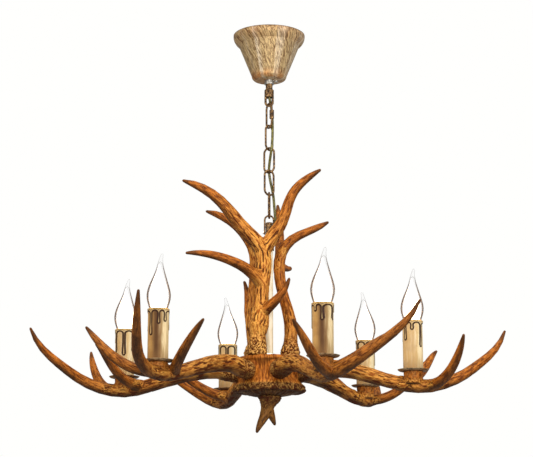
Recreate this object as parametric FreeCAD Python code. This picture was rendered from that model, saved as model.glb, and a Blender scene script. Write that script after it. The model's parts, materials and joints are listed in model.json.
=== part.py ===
import FreeCAD, Part
import math
import os
from FreeCAD import Vector

# Antler chandelier with six candle lamps, hung from a ceiling rose by a chain.
# Millimetres. The origin is the middle of the ceiling rose at the ceiling, +Z is up,
# and -Y is the front. Everything hangs below the ceiling plane, z = 0.

os.makedirs("parts", exist_ok=True)

# ---- Clearances ----
FIT = 0.05               # radial gap of a thread or a pushed fit
PIN_FIT = 0.08           # radial gap of a pin that turns
LOOSE = 0.3              # gap between rounded pieces that only hang on each other

# ---- Ceiling rose ----
BAR_LENGTH = 104.0
BAR_WIDTH = 22.0
BAR_THICK = 2.5
SLOT_WIDTH = 4.6
SLOT_LENGTH = 14.0
SLOT_END_WALL = 5.0      # metal left between a slot and the bar's end
SLOT_SPACING = BAR_LENGTH - 2 * SLOT_END_WALL - SLOT_LENGTH
NIPPLE_R = 5.0
NIPPLE_BORE_R = 3.4
NUT_FLATS = 15.0
NUT_THICK = 4.0
CANOPY_RIM_R = 60.8
CANOPY_BRIM = 2.0        # upright edge at the ceiling
CANOPY_NECK_R = 51.4     # where the rolled lip meets the cone
CANOPY_LIP_DROP = 17.5
CANOPY_ROLL = (2.4, 10.5)        # in from the rim and down, half-way round the lip
CANOPY_FOOT_R = 29.5
CANOPY_DROP = 79.0
CANOPY_FOOT_CURL = 7.0
CANOPY_CURL_SHARES = (0.32, 0.27)        # in and up, half-way round the foot's curl
CANOPY_WALL = 1.2
RING_NUT_R = 8.0
RING_NUT_HEIGHT = 7.0
COLLAR_R = 5.8
COLLAR_HEIGHT = 9.6
BLOCK_LENGTH = 30.0      # terminal block
BLOCK_WIDTH = 16.0
BLOCK_HEIGHT = 13.0
BLOCK_OFFSET = 22.0      # from the middle of the bar, along it
BLOCK_WAYS = 3
WIRE_HOLE_R = 1.8
WIRE_HOLE_RISE = 7.5     # above the block's underside
SCREW_WELL_R = 2.2
SCREW_WELL_DEPTH = 4.5
EARTH_OFFSET = 20.0      # earth screw, on the bar's other half
SCREW_R = 1.5
SCREW_HEAD_R = 2.9
SCREW_HEAD_HEIGHT = 1.8
STOP_SCREW_OUT = 12.0    # grub screw in the canopy floor, from the axis
STOP_SCREW_LENGTH = 6.0

# ---- Hanging loop under the rose ----
LOOP_BODY_R = 8.0
LOOP_BODY_HEIGHT = 13.7
LOOP_BODY_ROUND = 1.2
LOOP_WIRE_R = 2.0
LOOP_DROP = 14.3         # body underside to the middle of the bottom wire
LOOP_THREAD_DEPTH = 8.0
LOOP_CORD_R = 3.8

# ---- Chain ----
LINK_WIRE_R = 1.7
LINK_WIDTH = 22.0        # outside
LINK_LENGTH = 46.0       # outside
LINK_TURNS = (-62.0, 52.0, -28.0, 36.0, 86.0)   # each link's turn about the vertical
SLEEVE_FLATS = 6.6       # screw sleeve of the first link, which opens
SLEEVE_LENGTH = 15.0

# ---- Bail, head and stem ----
BAIL_WIRE_R = 1.5
BAIL_DROP = 28.3         # middle of its top wire to the pin
BAIL_EYE_R = 3.8
BAIL_EYE_THICK = 2.6
HEAD_R = 7.0
HEAD_FLATS = 11.6        # across the two flats that the bail's eyes face
HEAD_RISE = 16.5         # above the pin
HEAD_SKIRT = 7.5         # below the pin
HEAD_ROUND = 2.5
PIN_R = 1.5
PIN_HEAD_R = 2.9
PIN_HEAD_THICK = 1.6
NECK_R = 8.0
NECK_LENGTH = 24.0
NECK_SOCKET = 6.0        # the tube's depth in the neck
NECK_ROOF = 3.0
NECK_ROUND = 1.0
STEM_R = 6.35
STEM_WALL = 1.1
STEM_DROP = 209.5        # pin to the top of the hub
STEM_NUT_FLATS = 20.0
STEM_NUT_THICK = 6.0

# ---- Cord ----
CORD_R = 2.25
OUTLET_BORE_R = 2.6      # hole for the cord in the neck's side
OUTLET_R = 4.2           # rubber bush round it
BUSH_LENGTH = 12.5

# ---- Hub ----
HUB_TOP_R = 52.0
HUB_WAIST_R = 45.5
HUB_EDGE = 2.0
HUB_RIM_HEIGHT = 10.0
HUB_RIM_R = 60.0
HUB_HEIGHT = 57.0
HUB_ROOF = 16.0
HUB_CAVITY_R = 39.0
SEAT_OUT = 50.0          # arm seats' distance from the axis
SEAT_R = 17.5
SEAT_DROP = 25.0         # hub top to the arms' axis
SCALLOPS = 18
SCALLOP_R = 7.0
SCALLOP_DEPTH = 3.0
DISH_R = 45.0
DISH_DROP = 6.0
DISH_FOOT_R = 20.0
DISH_BULGE = 3.0         # its curve's middle, out from half-way
DISH_BULGE_SHARE = 0.62  # and that share of the way down

# ---- Arms and candles ----
ARM_COUNT = 6
ARM_START = -42.4        # the first arm's angle from the front, turning to the right
# How each antler was set by hand: turned, rolled and tipped, in degrees.
ARM_SETS = (
    (-1.6, 1.1, 1.1),
    (1.4, 1.4, -1.1),
    (-0.7, 0.9, -0.3),
    (-1.3, -0.7, -0.3),
    (0.0, 0.0, 0.0),
    (2.3, -2.8, 0.5),
)
CANDLE_OUT = 244.0       # candle axis from the chandelier's axis
CANDLE_DROP = 27.0       # hub top to the top of the drip pans
CANDLE_SHIFTS = (0.0, 0.0, -8.0, 0.0, 0.0, 0.0)
ARM_BOLT_R = 3.0
ARM_BOLT_REACH = 26.0
BOLT_HEAD_R = 5.0
BOLT_HEAD_THICK = 3.0
BOSS_TOP_R = 16.0
BOSS_FOOT_R = 14.0
BOSS_FOOT_DROP = 20.0
PAN_R = 25.3
PAN_THICK = 1.6
PAN_LIP = 3.0
PAN_CURL = 6.0           # width of the turned-up edge
PAN_EDGE = 1.2
STUD_R = 4.0
STUD_BORE_R = 2.6
STUD_IN_ARM = 12.0
STUD_END_GAP = 0.5
SLEEVE_R = 16.0
SLEEVE_WALL = 1.5
CANDLE_HEIGHT = 80.0
HOLDER_R = 12.6
HOLDER_SINK = 18.0       # holder's top below the candle's top
HOLDER_WELL = 24.0       # depth of its well for the bulb's cap
HOLDER_WEB = 8.0         # solid between the well and the stud
HOLDER_FLANGE_THICK = 3.0
BULB_CAP_R = 6.9
BULB_CAP_LENGTH = 22.0
BULB_CAP_RISE = 0.5      # cap's top over the holder's
BULB_TIP_R = 2.4
BULB_TURNS = (-25.0, 20.0, 35.0, 200.0, 170.0, 20.0)   # which way each flame tip bends
# Glass: height above the cap's top, radius, sideways bend of the flame tip.
GLASS = (
    (0.0, 8.6, 0.0),
    (7.5, 11.2, 0.0),
    (17.5, 14.0, 0.0),
    (34.5, 18.5, 0.0),
    (52.5, 15.6, 0.4),
    (70.5, 9.0, 1.6),
    (87.5, 4.2, 2.2),
    (101.5, 1.8, 5.0),
)
GLASS_WALL = 0.9
GLASS_BANDS = 16         # rings of the glass

# ---- Antlers: (out, side, up, radius) of each growth, from its root to its tip ----
GROWTH_BANDS = 20        # rings of the surface along one growth
BURR_SWELL = 1.16        # the burr's bulge over the beam beside it
ARM_BEAM = (
    (66.0, 1.0, 2.0, 16.5),
    (80.0, 2.0, 6.0, 14.8),
    (104.0, 3.0, 6.0, 14.2),
    (135.0, 4.0, 1.0, 13.2),
    (188.0, 4.0, -14.0, 11.5),
    (244.0, 4.0, -26.0, 11.0),
    (296.0, 20.0, -16.0, 9.2),
    (336.0, 54.0, 13.0, 7.5),
    (362.0, 84.0, 42.0, 5.4),
    (375.0, 101.0, 71.0, 2.2),
)
ARM_OUTER_TINE = (
    (262.0, 6.0, -24.0, 9.5),
    (294.0, -28.0, -10.0, 8.0),
    (314.0, -54.0, 18.0, 6.2),
    (325.0, -75.0, 45.0, 2.2),
)
ARM_INNER_TINE = (
    (214.0, 4.0, -18.0, 10.0),
    (236.0, 36.0, -8.0, 8.2),
    (250.0, 76.0, 18.0, 6.5),
    (260.0, 115.0, 42.0, 2.2),
)
# Upright antlers: (x, y, up from the hub's top, radius).
FRONT_BEAM = (
    (-19.5, -33.0, 14.0, 16.0),
    (-18.0, -34.0, 37.0, 14.5),
    (-13.0, -34.0, 83.0, 12.5),
    (-10.0, -33.0, 133.0, 12.5),
    (-12.0, -33.0, 173.0, 13.6),
    (-36.0, -38.0, 201.0, 12.0),
    (-62.0, -46.0, 231.0, 10.4),
    (-90.0, -52.0, 260.0, 8.5),
    (-118.0, -56.0, 276.0, 6.5),
    (-141.0, -58.0, 284.0, 2.4),
)
FRONT_TALL_TINE = (
    (-9.0, -32.0, 172.0, 12.0),
    (6.0, -30.0, 197.0, 11.5),
    (20.0, -31.0, 219.0, 10.0),
    (29.0, -34.0, 243.0, 9.0),
    (40.0, -38.0, 269.0, 8.0),
    (60.0, -44.0, 289.0, 6.4),
    (84.0, -50.0, 304.0, 2.4),
)
FRONT_SIDE_TINE = (
    (-10.0, -34.0, 113.0, 11.0),
    (-32.0, -50.0, 135.0, 9.5),
    (-62.0, -72.0, 148.0, 7.8),
    (-95.0, -88.0, 155.0, 6.2),
    (-132.0, -100.0, 155.0, 2.4),
)
FRONT_BROW_TINE = (
    (-12.0, -36.0, 67.0, 10.0),
    (8.0, -52.0, 84.0, 7.8),
    (22.0, -62.0, 99.0, 5.6),
    (32.0, -70.0, 119.0, 2.4),
)
RIGHT_BEAM = (
    (34.5, 3.0, 14.0, 14.5),
    (36.0, 6.0, 41.0, 11.0),
    (30.0, 10.0, 81.0, 9.6),
    (21.0, 14.0, 115.0, 9.0),
    (17.0, 16.0, 143.0, 9.6),
    (20.0, 14.0, 176.0, 9.4),
    (40.0, 12.0, 201.0, 8.0),
    (62.0, 16.0, 213.0, 6.8),
    (83.0, 20.0, 223.0, 5.6),
    (99.0, 24.0, 232.0, 2.4),
)
RIGHT_BROW_TINE = (
    (17.0, 16.0, 151.0, 8.5),
    (22.0, 40.0, 159.0, 6.5),
    (28.0, 60.0, 160.0, 5.6),
    (36.0, 78.0, 163.0, 3.8),
)
RIGHT_BACK_TINE = (
    (18.0, 15.0, 169.0, 9.0),
    (18.0, 44.0, 201.0, 8.0),
    (17.0, 78.0, 243.0, 6.5),
    (15.0, 104.0, 279.0, 2.6),
)
LEFT_BEAM = (
    (-25.5, 30.0, 14.0, 15.0),
    (-27.0, 31.0, 49.0, 12.0),
    (-27.0, 32.0, 85.0, 11.0),
    (-25.0, 34.0, 119.0, 10.5),
    (-22.0, 36.0, 153.0, 10.5),
    (-25.0, 38.0, 184.0, 10.0),
    (-40.0, 44.0, 213.0, 8.6),
    (-64.0, 50.0, 238.0, 7.4),
    (-87.0, 56.0, 252.0, 6.0),
    (-107.0, 60.0, 259.0, 2.4),
)
LEFT_BROW_TINE = (
    (-30.0, 32.0, 57.0, 9.0),
    (-35.0, 39.0, 87.0, 6.8),
    (-37.0, 48.0, 113.0, 5.0),
    (-42.0, 54.0, 136.0, 2.4),
)
LEFT_BACK_TINE = (
    (-24.0, 36.0, 158.0, 9.5),
    (-26.0, 58.0, 190.0, 8.0),
    (-34.0, 82.0, 214.0, 6.4),
    (-50.0, 104.0, 228.0, 2.4),
)
UPRIGHT_BOLT_REACH = 24.0
# Finial: a small forked antler, upside down. Up is from the dish's underside.
FINIAL_BEAM = (
    (-1.0, 0.0, -8.0, 15.5),
    (-3.0, 0.0, -18.0, 10.8),
    (-8.0, -2.0, -32.0, 8.0),
    (-15.0, -5.0, -46.0, 5.5),
    (-20.0, -6.0, -58.0, 2.4),
)
FINIAL_TINE = (
    (-2.0, 0.0, -17.0, 9.0),
    (4.0, 3.0, -32.0, 6.0),
    (9.0, 6.0, -45.0, 2.4),
)
FINIAL_TOP_R = 19.5
FINIAL_BORE_DEPTH = 9.0

# ---- Heights that follow from the sizes ----
Z = Vector(0, 0, 1)
X = Vector(1, 0, 0)
LOOP_BODY_TOP = -(CANOPY_DROP + RING_NUT_HEIGHT + COLLAR_HEIGHT)
LOOP_BODY_BOTTOM = LOOP_BODY_TOP - LOOP_BODY_HEIGHT
LOOP_WIRE_Z = LOOP_BODY_BOTTOM - LOOP_DROP
LINK_SPAN = LINK_LENGTH - 2 * LINK_WIRE_R            # between the end wires' middles
LINK_STEP = 2 * LINK_WIRE_R + LOOSE                  # one wire's middle over the next
LINK_TOP_Z = LOOP_WIRE_Z + LOOP_WIRE_R + LINK_WIRE_R + LOOSE
LINK_PITCH = LINK_SPAN - LINK_STEP
LAST_WIRE_Z = LINK_TOP_Z - (len(LINK_TURNS) - 1) * LINK_PITCH - LINK_SPAN
BAIL_TOP_Z = LAST_WIRE_Z + LINK_WIRE_R + BAIL_WIRE_R + LOOSE
PIN_Z = BAIL_TOP_Z - BAIL_DROP
HEAD_BOTTOM_Z = PIN_Z - HEAD_SKIRT
NECK_BOTTOM_Z = HEAD_BOTTOM_Z - NECK_LENGTH
HUB_TOP_Z = PIN_Z - STEM_DROP
ARM_Z = HUB_TOP_Z - SEAT_DROP
CANDLE_Z = HUB_TOP_Z - CANDLE_DROP
HUB_BOTTOM_Z = HUB_TOP_Z - HUB_HEIGHT
DISH_FOOT_Z = HUB_BOTTOM_Z - DISH_DROP
STEM_BORE_R = STEM_R - STEM_WALL
NECK_BORE_R = STEM_BORE_R
HOLDER_HEIGHT = CANDLE_HEIGHT - HOLDER_SINK
HOLDER_FLOOR = HOLDER_HEIGHT - HOLDER_WELL
STUD_TOP = HOLDER_FLOOR - HOLDER_WEB                 # above the candle's foot
BULB_CAP_TOP = HOLDER_HEIGHT + BULB_CAP_RISE


def save(name, *solids):
    """Write one named piece, or a group of like pieces, to its own file."""
    shape = solids[0] if len(solids) == 1 else Part.makeCompound(list(solids))
    shape.exportStep("parts/" + name + ".step")
    print("%-22s %2d solid(s) %10.0f mm3 valid %s"
          % (name, len(shape.Solids), shape.Volume, shape.isValid()))


def one_solid(shape):
    """The single solid that a fuse or a cut leaves."""
    if len(shape.Solids) != 1:
        raise ValueError("%d solids where one was meant" % len(shape.Solids))
    return shape.Solids[0]


def rod(radius, low, high, x=0.0, y=0.0):
    """Upright cylinder between two heights."""
    return Part.makeCylinder(radius, high - low, Vector(x, y, low), Z)


def tube(outer, inner, low, high, x=0.0, y=0.0):
    return rod(outer, low, high, x, y).cut(rod(inner, low - 1, high + 1, x, y))


def rod_between(radius, start, end):
    return Part.makeCylinder(radius, (end - start).Length, start, end - start)


def hexagon(flats, low, high, x=0.0, y=0.0):
    """Upright hexagonal bar, measured across its flats."""
    corner = flats / math.sqrt(3)
    points = []
    for i in range(7):
        angle = math.radians(60 * i)
        points.append(Vector(x + corner * math.cos(angle), y + corner * math.sin(angle), low))
    face = Part.Face(Part.makePolygon(points))
    return face.extrude(Vector(0, 0, high - low))


def turned(edges):
    """Solid of revolution about the Z axis from the edges of a closed outline in the XZ plane."""
    wire = Part.Wire(Part.__sortEdges__(edges))
    return Part.Face(wire).revolve(Vector(0, 0, 0), Z, 360)


def line(a, b):
    return Part.LineSegment(Vector(a[0], 0, a[1]), Vector(b[0], 0, b[1])).toShape()


def arc(a, through, b):
    return Part.Arc(Vector(a[0], 0, a[1]), Vector(through[0], 0, through[1]),
                    Vector(b[0], 0, b[1])).toShape()


def outline(points):
    """Closed outline of straight lines, as (radius, height) points."""
    return [line(a, b) for a, b in zip(points, points[1:] + points[:1])]


# ---- Antler growth ----

def growth(stations, bands=GROWTH_BANDS):
    """A tapering, curving horn through round sections, ending in a blunt tip."""
    points = [Vector(*station[:3]) for station in stations]
    centre = Part.BSplineCurve()
    centre.interpolate(points)
    places = [centre.parameter(point) for point in points]
    girth = Part.BSplineCurve()
    girths = [Vector(station[3], place, 0) for station, place in zip(stations, places)]
    girth.interpolate(Points=girths, Parameters=places)
    first = centre.tangent(places[0])[0]
    side = first.cross(X) if abs(first.dot(X)) < 0.9 else first.cross(Z)
    sections = []
    for band in range(bands + 1):
        place = places[0] + (places[-1] - places[0]) * band / bands
        at = centre.value(place)
        ahead = centre.tangent(place)[0]
        side = side - ahead * side.dot(ahead)
        side.normalize()
        radius = girth.value(place).x
        ring = Part.Circle(at, ahead, radius)
        ring.XAxis = side
        sections.append(Part.Wire([ring.toShape()]))
    sections.append(Part.Vertex(at + ahead * radius))
    return Part.makeLoft(sections, True, True)


def burr(root, ahead, radius):
    """Stations of the swollen ring where an antler grew from the skull."""
    swell = ((-0.2, 0.96), (0.1, 1.0), (0.4, BURR_SWELL), (0.8, 0.5 + BURR_SWELL / 2))
    return tuple(
        (root.x + ahead.x * radius * step, root.y + ahead.y * radius * step,
         root.z + ahead.z * radius * step, radius * swelling)
        for step, swelling in swell)


def antler(root, ahead, beam, *tines):
    """One casting: a beam that rises from its burr, with the tines that branch from it."""
    whole = growth(burr(root, ahead, beam[0][3]) + tuple(beam))
    return one_solid(whole.fuse([growth(tine) for tine in tines]))


# ---- Ceiling rose ----

def ceiling_bar():
    """Flat strap that the ceiling screws hold, with two slots and a middle hole."""
    bar = Part.makeBox(BAR_LENGTH, BAR_WIDTH, BAR_THICK,
                       Vector(-BAR_LENGTH / 2, -BAR_WIDTH / 2, -BAR_THICK))
    half = (SLOT_LENGTH - SLOT_WIDTH) / 2
    for side in (-1, 1):
        middle = side * SLOT_SPACING / 2
        slot = Part.makeBox(2 * half, SLOT_WIDTH, 3 * BAR_THICK,
                            Vector(middle - half, -SLOT_WIDTH / 2, -2 * BAR_THICK))
        ends = [rod(SLOT_WIDTH / 2, -2 * BAR_THICK, BAR_THICK, middle + end * half)
                for end in (-1, 1)]
        bar = bar.cut(slot.fuse(ends))
    bar = bar.cut(rod(NIPPLE_R + FIT, -2 * BAR_THICK, BAR_THICK))
    bar = bar.cut(rod(SCREW_R + FIT, -2 * BAR_THICK, BAR_THICK, EARTH_OFFSET))
    return one_solid(bar)


def screw(x, y, head_top, length):
    """Cheese-head screw, head down, with its shank going up."""
    head = rod(SCREW_HEAD_R, head_top - SCREW_HEAD_HEIGHT, head_top, x, y)
    return one_solid(head.fuse(rod(SCREW_R, head_top - 0.1, head_top + length, x, y)))


def canopy_line(inset):
    """The canopy's profile, from the rim to the floor's hole, moved in by the wall."""
    rim = (CANOPY_RIM_R - inset, 0.0)
    brim = (CANOPY_RIM_R - inset, -CANOPY_BRIM)
    roll_in, roll_down = CANOPY_ROLL
    roll = (CANOPY_RIM_R - roll_in - inset, -roll_down)
    neck = (CANOPY_NECK_R - inset, -CANOPY_LIP_DROP)
    foot = (CANOPY_FOOT_R - inset, -CANOPY_DROP + CANOPY_FOOT_CURL)
    curl_in, curl_up = CANOPY_CURL_SHARES
    slant = inset / math.sqrt(2)
    curl = (CANOPY_FOOT_R - curl_in * CANOPY_FOOT_CURL - slant,
            -CANOPY_DROP + curl_up * CANOPY_FOOT_CURL + slant)
    floor = (CANOPY_FOOT_R - CANOPY_FOOT_CURL, -CANOPY_DROP + inset)
    hole = (NIPPLE_R + FIT, -CANOPY_DROP + inset)
    edges = [line(rim, brim), arc(brim, roll, neck), line(neck, foot),
             arc(foot, curl, floor), line(floor, hole)]
    return edges, rim, hole


def canopy():
    outer, outer_rim, outer_hole = canopy_line(0.0)
    inner, inner_rim, inner_hole = canopy_line(CANOPY_WALL)
    shell = turned(outer + inner + [line(outer_rim, inner_rim), line(outer_hole, inner_hole)])
    stop = rod(SCREW_R + FIT, -CANOPY_DROP - 1, -CANOPY_DROP + 2 * CANOPY_WALL, STOP_SCREW_OUT)
    return one_solid(shell.cut(stop))


def terminal_block():
    """Moulded block under the bar, with a wire hole and a screw well for each way."""
    low = -BAR_THICK - BLOCK_HEIGHT
    block = Part.makeBox(BLOCK_WIDTH, BLOCK_LENGTH, BLOCK_HEIGHT,
                         Vector(-BLOCK_OFFSET - BLOCK_WIDTH / 2, -BLOCK_LENGTH / 2, low))
    pitch = BLOCK_LENGTH / BLOCK_WAYS
    for way in range(BLOCK_WAYS):
        y = (way - (BLOCK_WAYS - 1) / 2) * pitch
        start = Vector(-BLOCK_OFFSET - BLOCK_WIDTH / 2 - 1, y, low + WIRE_HOLE_RISE)
        wire = Part.makeCylinder(WIRE_HOLE_R, BLOCK_WIDTH + 2, start, X)
        block = block.cut(wire)
        block = block.cut(rod(SCREW_WELL_R, low - 1, low + SCREW_WELL_DEPTH, -BLOCK_OFFSET, y))
    return one_solid(block)


def hanging_loop():
    """Turned body with a wire loop under it for the chain."""
    body = rod(LOOP_BODY_R, LOOP_BODY_BOTTOM, LOOP_BODY_TOP)
    body = body.makeFillet(LOOP_BODY_ROUND, [e for e in body.Edges if len(e.Vertexes) == 1])
    half = LOOP_BODY_R - LOOP_WIRE_R
    bend_z = LOOP_WIRE_Z + half
    root = LOOP_BODY_BOTTOM + LOOP_WIRE_R
    path = Part.Wire([
        line((-half, root), (-half, bend_z)),
        arc((-half, bend_z), (0, LOOP_WIRE_Z), (half, bend_z)),
        line((half, bend_z), (half, root))])
    ring = Part.Wire([Part.makeCircle(LOOP_WIRE_R, Vector(-half, 0, root), Z)])
    body = body.fuse(path.makePipeShell([ring], True, False))
    body = body.cut(rod(NIPPLE_R + FIT, LOOP_BODY_TOP - LOOP_THREAD_DEPTH, LOOP_BODY_TOP + 1))
    body = body.cut(rod(LOOP_CORD_R, LOOP_BODY_BOTTOM - 1, LOOP_BODY_TOP))
    return one_solid(body)


# ---- Chain ----

def oval(half, top, bottom, wire_r):
    """Upright oval of round wire in the XZ plane, given its wires' middles."""
    high = top - half
    low = bottom + half
    path = Part.Wire([
        line((half, low), (half, high)),
        arc((half, high), (0, top), (-half, high)),
        line((-half, high), (-half, low)),
        arc((-half, low), (0, bottom), (half, low))])
    ring = Part.Wire([Part.makeCircle(wire_r, Vector(half, 0, low), Z)])
    return path.makePipeShell([ring], True, False)


LINK_HALF = LINK_WIDTH / 2 - LINK_WIRE_R


def chain_link(index):
    top = LINK_TOP_Z - index * LINK_PITCH
    link = oval(LINK_HALF, top, top - LINK_SPAN, LINK_WIRE_R)
    link.rotate(Vector(0, 0, 0), Z, LINK_TURNS[index])
    return one_solid(link)


def link_sleeve():
    """Hexagonal screw sleeve that closes the first link."""
    middle = LINK_TOP_Z - LINK_SPAN / 2
    nut = hexagon(SLEEVE_FLATS, middle - SLEEVE_LENGTH / 2, middle + SLEEVE_LENGTH / 2, LINK_HALF)
    nut = nut.cut(rod(LINK_WIRE_R + FIT, middle - SLEEVE_LENGTH, middle + SLEEVE_LENGTH, LINK_HALF))
    nut.rotate(Vector(0, 0, 0), Z, LINK_TURNS[0])
    return one_solid(nut)


# ---- Bail, head and stem ----

BAIL_HALF = HEAD_FLATS / 2 + LOOSE + BAIL_EYE_THICK / 2


def cross_bore(radius):
    """Bore along the pin's axis, longer than the bail is wide."""
    reach = 2 * BAIL_HALF
    return rod_between(radius, Vector(-reach, 0, PIN_Z), Vector(reach, 0, PIN_Z))


def bail():
    """Bent-wire bail with a flattened eye at each end for the pin."""
    bend_z = BAIL_TOP_Z - BAIL_HALF
    path = Part.Wire([
        line((-BAIL_HALF, PIN_Z), (-BAIL_HALF, bend_z)),
        arc((-BAIL_HALF, bend_z), (0, BAIL_TOP_Z), (BAIL_HALF, bend_z)),
        line((BAIL_HALF, bend_z), (BAIL_HALF, PIN_Z))])
    ring = Part.Wire([Part.makeCircle(BAIL_WIRE_R, Vector(-BAIL_HALF, 0, PIN_Z), Z)])
    wire = path.makePipeShell([ring], True, False)
    cheek = HEAD_FLATS / 2 + LOOSE
    for side in (-1, 1):
        start = Vector(side * (BAIL_HALF + BAIL_EYE_THICK / 2), 0, PIN_Z)
        end = Vector(side * (BAIL_HALF - BAIL_EYE_THICK / 2), 0, PIN_Z)
        wire = wire.fuse(rod_between(BAIL_EYE_R, start, end))
    between = Part.makeBox(2 * cheek, 4 * BAIL_EYE_R, 4 * BAIL_EYE_R,
                           Vector(-cheek, -2 * BAIL_EYE_R, PIN_Z - 2 * BAIL_EYE_R))
    return one_solid(wire.cut(between).cut(cross_bore(PIN_R + PIN_FIT)))


def bail_pin():
    """Cross pin with a bright head and a nut at its ends."""
    reach = BAIL_HALF + BAIL_EYE_THICK / 2 + LOOSE
    shank = rod_between(PIN_R, Vector(-reach, 0, PIN_Z), Vector(reach, 0, PIN_Z))
    ends = []
    for side in (-1, 1):
        ends.append(rod_between(PIN_HEAD_R, Vector(side * reach, 0, PIN_Z),
                                Vector(side * (reach + PIN_HEAD_THICK), 0, PIN_Z)))
    return one_solid(shank.fuse(ends))


def stem_head():
    """Turned head that the pin goes through, flat on two sides."""
    head = rod(HEAD_R, HEAD_BOTTOM_Z, PIN_Z + HEAD_RISE)
    top = [e for e in head.Edges if len(e.Vertexes) == 1 and e.CenterOfMass.z > PIN_Z]
    head = head.makeFillet(HEAD_ROUND, top)
    low = PIN_Z - BAIL_EYE_R - 2 * LOOSE
    for left in (HEAD_FLATS / 2, -HEAD_FLATS / 2 - HEAD_R):
        flat = Part.makeBox(HEAD_R, 2 * HEAD_R, 2 * HEAD_RISE, Vector(left, -HEAD_R, low))
        head = head.cut(flat)
    return one_solid(head.cut(cross_bore(PIN_R + FIT)))


OUTLET_ANGLE = math.radians(43.0)     # where the cord enters the neck, right of the back
OUTLET_IN = Vector(2.0, 0, -21.5)     # out from the axis and up from the pin
OUTLET_MOUTH = Vector(15.2, 0, -10.0)


def outlet_point(place):
    return Vector(place.x * math.cos(OUTLET_ANGLE), place.x * math.sin(OUTLET_ANGLE),
                  PIN_Z + place.z)


def stem_neck():
    """Neck between head and tube, with a slanting hole for the cord."""
    neck = rod(NECK_R, NECK_BOTTOM_Z, HEAD_BOTTOM_Z)
    neck = neck.makeFillet(NECK_ROUND, [e for e in neck.Edges if len(e.Vertexes) == 1])
    neck = neck.cut(rod(NECK_BORE_R, NECK_BOTTOM_Z - 1, HEAD_BOTTOM_Z - NECK_ROOF))
    neck = neck.cut(rod(STEM_R + FIT, NECK_BOTTOM_Z - 1, NECK_BOTTOM_Z + NECK_SOCKET))
    hole = rod_between(OUTLET_R + FIT, outlet_point(OUTLET_IN), outlet_point(OUTLET_MOUTH))
    return one_solid(neck.cut(hole))


def cord_bush():
    """Rubber bush in the slanting hole."""
    inner, mouth = outlet_point(OUTLET_IN), outlet_point(OUTLET_MOUTH)
    ahead = (mouth - inner).normalize()
    bush = rod_between(OUTLET_R, inner, inner + ahead * BUSH_LENGTH)
    bush = bush.cut(rod_between(OUTLET_BORE_R, inner - ahead, mouth))
    return one_solid(bush.cut(rod(NECK_BORE_R, NECK_BOTTOM_Z, HEAD_BOTTOM_Z)))


def stem_tube():
    """Tube from the neck, through the hub and the dish, into the finial."""
    low = DISH_FOOT_Z - FINIAL_BORE_DEPTH + 1
    return tube(STEM_R, STEM_BORE_R, low, NECK_BOTTOM_Z + NECK_SOCKET - FIT)


def stem_nuts():
    """Nuts above and below the hub's roof."""
    bore = rod(STEM_R + FIT, HUB_BOTTOM_Z, HUB_TOP_Z + 2 * STEM_NUT_THICK)
    roof_z = HUB_TOP_Z - HUB_ROOF
    upper = hexagon(STEM_NUT_FLATS, HUB_TOP_Z, HUB_TOP_Z + STEM_NUT_THICK).cut(bore)
    lower = hexagon(STEM_NUT_FLATS, roof_z - STEM_NUT_THICK, roof_z).cut(bore)
    return upper, lower


# ---- Hub ----

def arm_angle(index):
    """Angle of an arm from the front, in radians, turning to the right."""
    return math.radians(ARM_START + index * 360.0 / ARM_COUNT)


def outwards(angle):
    return Vector(math.sin(angle), -math.cos(angle), 0)


def hub_blank(skin=0.0):
    """The hub as turned, before its seats and scallops; skin swells it all round."""
    top, low = HUB_TOP_Z, HUB_BOTTOM_Z
    return turned([
        line((0, top), (HUB_TOP_R - HUB_EDGE + skin, top)),
        line((HUB_TOP_R - HUB_EDGE + skin, top), (HUB_TOP_R + skin, top - HUB_EDGE)),
        line((HUB_TOP_R + skin, top - HUB_EDGE), (HUB_TOP_R + skin, top - 3 * HUB_EDGE)),
        arc((HUB_TOP_R + skin, top - 3 * HUB_EDGE), (HUB_WAIST_R + skin, ARM_Z),
            (HUB_RIM_R - 2 + skin, low + HUB_RIM_HEIGHT)),
        line((HUB_RIM_R - 2 + skin, low + HUB_RIM_HEIGHT), (HUB_RIM_R + skin, low + 3)),
        line((HUB_RIM_R + skin, low + 3), (HUB_RIM_R - 3 + skin, low)),
        line((HUB_RIM_R - 3 + skin, low), (0, low)),
        line((0, low), (0, top))])


def bolt_place(root):
    """An upright's bolt goes up inside the hub's wall, beside the antler's middle."""
    x, y = root
    reach = HUB_CAVITY_R - BOLT_HEAD_R - 2 * LOOSE
    share = min(1.0, reach / math.hypot(x, y))
    return x * share, y * share


def hub_body():
    """Carved hub: a flat top for the uprights, six arm seats and a scalloped rim."""
    top, low = HUB_TOP_Z, HUB_BOTTOM_Z
    body = hub_blank()
    for index in range(ARM_COUNT):
        ahead = outwards(arm_angle(index))
        start = ahead * (HUB_CAVITY_R - SEAT_R / 2) + Z * ARM_Z
        body = body.fuse(rod_between(SEAT_R, start, ahead * SEAT_OUT + Z * ARM_Z))
    body = body.cut(rod(HUB_CAVITY_R, low - 1, top - HUB_ROOF))
    body = body.cut(rod(STEM_R + FIT, low, top + 1))
    for index in range(SCALLOPS):
        angle = math.radians((index + 0.5) * 360.0 / SCALLOPS)
        out = HUB_RIM_R + SCALLOP_R - SCALLOP_DEPTH
        body = body.cut(rod(SCALLOP_R, low - 1, low + HUB_RIM_HEIGHT + 2,
                            out * math.cos(angle), out * math.sin(angle)))
    for index in range(ARM_COUNT):
        ahead = outwards(arm_angle(index))
        body = body.cut(rod_between(ARM_BOLT_R + FIT, ahead * (HUB_CAVITY_R / 2) + Z * ARM_Z,
                                    ahead * (SEAT_OUT + ARM_BOLT_R) + Z * ARM_Z))
    for root in UPRIGHT_ROOTS:
        x, y = bolt_place(root)
        body = body.cut(rod(ARM_BOLT_R + FIT, top - HUB_ROOF - 1, top + 1, x, y))
    return one_solid(body)


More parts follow.
